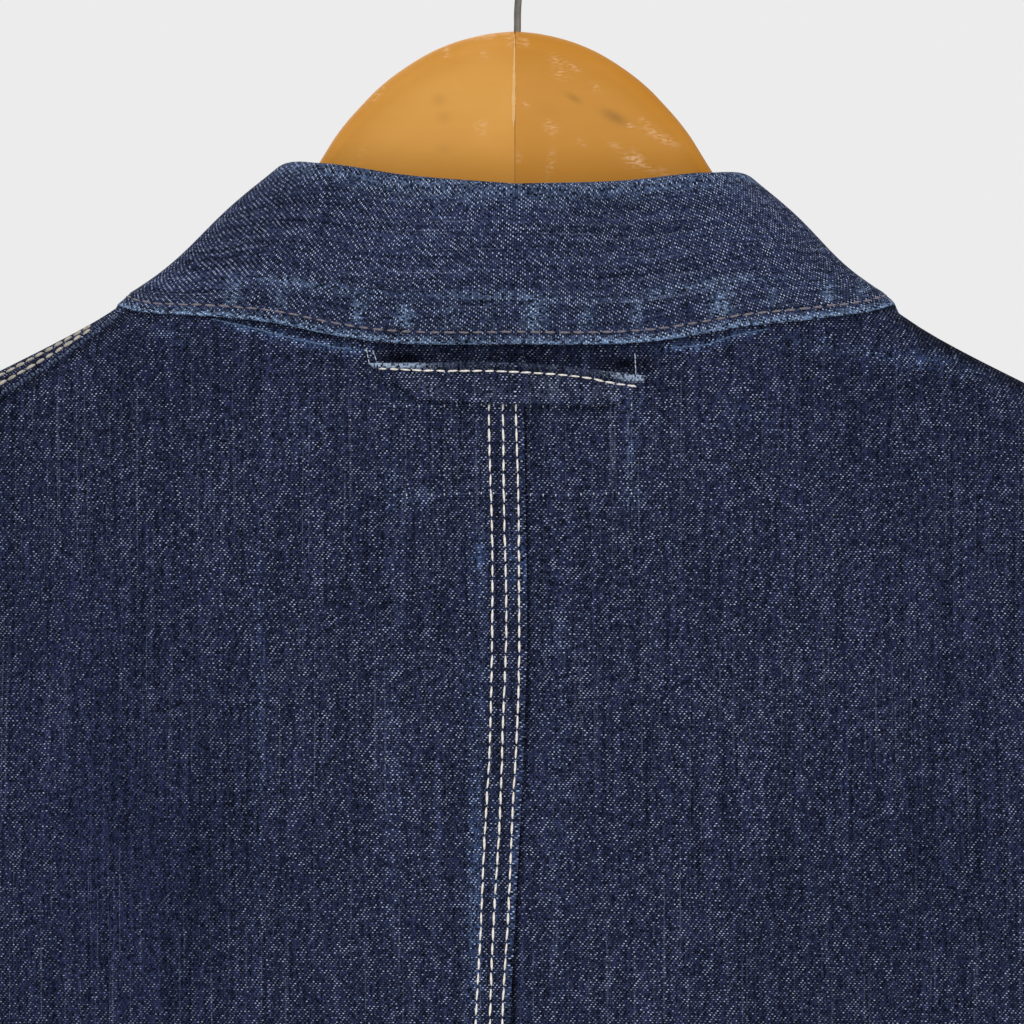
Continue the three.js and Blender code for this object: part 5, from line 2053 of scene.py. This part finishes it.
@dataclass
class Seams:
    """Where the rows of stitches run over the finished cloth."""

    shell: BodyShell
    panels: dict[tuple[Face, Side], Panel]
    sleeves: dict[Side, Sleeve]

    def on_body(self, face: Face, x: Array, z: Array, off: Any) -> Row:
        """A row along places on the body.

        Args:
            face: Back or front.
            x: Places across.
            z: Levels.
            off: How far off the plain cloth.

        Returns:
            The row.
        """
        p = self.shell.point(face, x, z)
        out = self.shell.normal(face, p)
        return Row(p + out * np.asarray(off)[..., None], out)

    def centre_back(self) -> list[Row]:
        """Three rows down the felled seam of the back.

        Returns:
            The rows.
        """
        panel = self.panels[Face.BACK, Side.LEFT]
        z = np.linspace(-166, self.shell.hem + 3, 340)
        hem = self.shell.hem_rise(z)
        rows = []
        for inset in FELL_ROWS:
            x = self.shell.back_seam(z) + 0.15 + inset + 0.12 * np.sin(z / 9 + inset)
            rows.append(self.on_body(Face.BACK, x, z, panel.fell(np.array(inset)) + 0.08 + hem))
        return rows

    def shoulders(self) -> list[Row]:
        """Rows along the shoulder seams: on the strip that laps onto the left back, and on the right front.

        Returns:
            The rows.
        """
        left, right = np.linspace(119, 232, 110), -np.linspace(100, 232, 120)
        reach = self.panels[Face.BACK, Side.LEFT].strip_reach(left)
        rows = [(Face.BACK, left, reach * share, 1.0) for share in (0.24, 0.64)]
        rows += [(Face.FRONT, right, below, 0.1) for below in (1.5, 4.0, 6.5)]
        return [self.on_body(face, x, self.shell.ridge_z(x) - below, off) for face, x, below, off in rows]

    def neck_edge(self) -> list[Row]:
        """The rubbed edge of the neck seam where it shows below the collar.

        Returns:
            The rows.
        """
        rows = []
        for run, _ in NECK_WEAR:
            x = np.linspace(run.at[0] + 8 * (run.at[0] > 0), run.at[-1] - 8 * (run.at[-1] < 0), 60)
            rows.append(self.on_body(Face.BACK, x, run(x), 0.1))
        return rows

    def felled_edge(self) -> list[Row]:
        """The overcast edge of the strip that laps onto the left back.

        Returns:
            The one row.
        """
        x = np.linspace(102, 232, 130)
        reach = self.panels[Face.BACK, Side.LEFT].strip_reach(x)
        return [self.on_body(Face.BACK, x, self.shell.ridge_z(x) - reach - 0.3, 0.35)]

    def hems(self) -> list[Row]:
        """A row round the hem, and one round each cuff.

        Returns:
            The rows.
        """
        rows = []
        for panel in self.panels.values():
            i = int(np.abs(panel.z[:, -1] - self.shell.hem - 20).argmin())
            rows.append(Row(panel.outer[i, 1:-1], panel.normals[i, 1:-1]))
        return rows + [sleeve.round_row(-5) for sleeve in self.sleeves.values()]

    def sides(self) -> list[Row]:
        """Two rows down each side seam, just behind it, and two round each armhole.

        Returns:
            The rows.
        """
        rows = []
        for side in Side:
            panel = self.panels[Face.BACK, side]
            down = slice(len(panel.falls), -1)
            rows += [Row(panel.outer[down, -back], panel.normals[down, -back]) for back in (2, 4)]
            rows += [self.sleeves[side].round_row(i) for i in (1, 2)]
        return rows

    def front(self) -> list[Row]:
        """Two rows down the doubled edge of the left front.

        Returns:
            The rows.
        """
        panel = self.panels[Face.FRONT, Side.LEFT]
        columns = np.abs(panel.inset()[40][:, None] - np.array([2.5, 34.0])).argmin(0)
        return [Row(panel.outer[2:-1, c], panel.normals[2:-1, c]) for c in columns]

    def buttonholes(self, levels: list[float]) -> list[Row]:
        """A tight oval of stitches round each buttonhole.

        Args:
            levels: The buttons' levels.

        Returns:
            The rows.
        """
        turn = np.linspace(0, 2 * math.pi, 40)
        x, rise = 1.5 + 11.5 * np.cos(turn), 1.9 * np.sin(turn)
        return [self.on_body(Face.FRONT, x, level + rise, 0.82) for level in levels]

    def loop_ends(self) -> list[Row]:
        """The threads that hold the hang loop's ends up to the neck seam.

        Returns:
            The rows.
        """
        ends = ((41.2, -155, 40.6, -158), (39.3, -155.6, 38.2, -158.6), (-33.4, -156.6, -33.6, -161))
        t = np.linspace(0, 1, 8)
        return [self.on_body(Face.BACK, lerp(x0, x1, t), lerp(z0, z1, t), 0.3) for x0, z0, x1, z1 in ends]

    def label(self) -> list[Row]:
        """The two rows that come through from the label sewn inside the neck.

        Returns:
            The rows.
        """
        x = np.linspace(33.6, -32.4, 60)
        off = np.where((x > -0.6) & (x < 9), 0.95, 0.12)
        return [self.on_body(Face.BACK, x, z + 0.25 * np.sin(x / 6), off) for z in (-170.3, -195.0)]


# Cotton threads: name, colour on top of a ply, colour with painted shade in the twist.
THREADS = (("cream", "#ebe6df", "#b3a99c"), ("brown", "#787279", "#4b474f"), ("beige", "#aea89c", "#6b655c"),
    ("pale", "#c3c7cf", "#8b93a3"), ("indigo", "#48566f", "#0e1324"), ("rubbed", "#5f779b", "#26345a"),
    ("faded", "#36476e", "#252f50"))

# Kinds of stitch: place, thread, pitch, length and width in millimetres, seed.
STITCHES = (("centre_back", "cream", 4.2, 3.8, 0.68, 3), ("loop", "cream", 3.4, 3.0, 0.62, 5),
    ("loop_ends", "pale", 1.3, 1.5, 0.34, 37), ("collar", "brown", 4.0, 3.2, 0.74, 7),
    ("shoulders", "beige", 3.0, 2.9, 1.15, 11), ("felled_edge", "indigo", 1.25, 0.9, 1.5, 23),
    ("neck_edge", "rubbed", 1.5, 1.6, 0.6, 31), ("label_line", "faded", 9.0, 8.4, 0.26, 29),
    ("seams", "cream", 4.2, 3.4, 0.6, 13), ("buttonholes", "cream", 0.8, 1.5, 0.6, 17),
    ("label", "pale", 3.5, 0.4, 0.85, 19))


# Square lamps: name, place in metres, width in metres, power in watts.
LAMPS = (("key", (0.7, 1.9, 1.5), 1.6, 26.0), ("fill", (-1.5, 1.7, 0.5), 1.8, 9.0),
    ("front", (0.4, -2.2, 1.2), 2.0, 26.0))


@dataclass
class Studio:
    """A pale floor, soft even light, and a level camera behind the jacket."""

    distance: float = 6000.0
    picture: float = 284.44
    look_x: float = 0.8
    look_z: float = -199.9
    back_y: float = 22.0
    sensor: float = 36.0
    floor_z: float = -1050.0
    floor_half: float = 9000.0
    lamps_aim: float = -300.0
    world: str = "#ececec"

    def build(self) -> None:
        """Makes the floor, the light and the camera."""
        scene = bpy.context.scene
        scene.view_settings.view_transform = "Standard"
        camera = bpy.data.cameras.new("camera")
        camera.sensor_width = self.sensor
        camera.lens = self.sensor * (self.distance - self.back_y) / self.picture
        camera.clip_end = 100
        thing = link("camera", camera)
        thing.location = (self.look_x * MM, self.distance * MM, self.look_z * MM)
        thing.rotation_euler = (math.pi / 2, 0, math.pi)
        scene.camera = thing
        world = bpy.data.worlds.new("studio")
        world.use_nodes = True
        world.node_tree.nodes["Background"].inputs[0].default_value = linear(self.world)
        scene.world = world
        for name, place, size, power in LAMPS:
            lamp = bpy.data.lights.new(name, "AREA")
            lamp.energy, lamp.size = power, size
            holder = link(name, lamp)
            holder.location = place
            aim = Vector((0, 0, self.lamps_aim * MM)) - Vector(place)
            holder.rotation_euler = aim.to_track_quat("-Z", "Y").to_euler()
        mesh = bpy.data.meshes.new("floor")
        half = self.floor_half * MM
        corners = [(-half, -half), (half, -half), (half, half), (-half, half)]
        mesh.from_pydata([(x, y, self.floor_z * MM) for x, y in corners], [], [(0, 1, 2, 3)])
        link("floor", mesh, StudioPaper().material())


def main() -> None:
    """Builds the jacket, its hanger and the studio."""
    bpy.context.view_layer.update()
    shell = BodyShell()
    denim = IndigoDenim().material()
    collar_denim = IndigoDenim(name="indigo_denim_collar", warp="#0d1427", streak="#2b3351", faded="#7c98bf",
        dots=1.78, speckle=0.4, step=1.05, line=0.6).material()
    panels = {(face, side): Panel(shell, face, side) for face in Face for side in Side}
    for panel in panels.values():
        panel.build(denim)
    sleeves = {side: Sleeve(panels[Face.BACK, side], panels[Face.FRONT, side]) for side in Side}
    for sleeve in sleeves.values():
        sleeve.build(denim)
    collar = Collar(shell)
    collar.build(collar_denim)
    loop = HangLoop(shell)
    loop.build(IndigoDenim(name="indigo_denim_loop", faded="#a3b5cf").material())
    hanger = Hanger(shell)
    wood = VarnishedBeech().material()
    for side in Side:
        hanger.board(side, wood)
    hanger.glue(WoodGlue("aged_glue", "#b07a30", "#94621f").material())
    hanger.squeezed_glue(WoodGlue("dry_glue", "#d8ae74", "#cb9a56").material())
    hanger.hook(WornMetal("drawn_steel_wire", "#8a8580", "#4e4a47", 0.35).material())
    buttons = Buttons(shell)
    buttons.build(WornMetal("stamped_brass", "#8d7a58", "#5a4c37", 0.38).material())
    seams = Seams(shell, panels, sleeves)
    sewing = Sewing()
    threads = {word: CottonThread(f"{word}_cotton_thread", *colours) for word, *colours in THREADS}
    rows = {"centre_back": seams.centre_back(), "loop": [loop.row()], "loop_ends": seams.loop_ends(),
        "collar": [collar.row()], "shoulders": seams.shoulders(), "felled_edge": seams.felled_edge(),
        "neck_edge": seams.neck_edge(), "label_line": seams.label(),
        "seams": seams.hems() + seams.sides() + seams.front(),
        "buttonholes": seams.buttonholes(buttons.levels()), "label": seams.label()}
    for place, thread, pitch, length, width, seed in STITCHES:
        kind = StitchKind(f"stitches_{place}", threads[thread], pitch, length, width, seed=seed)
        sewing.build(kind, rows[place])
    Studio().build()
    LOG.info("sizes written")


if __name__ == "__main__":
    main()
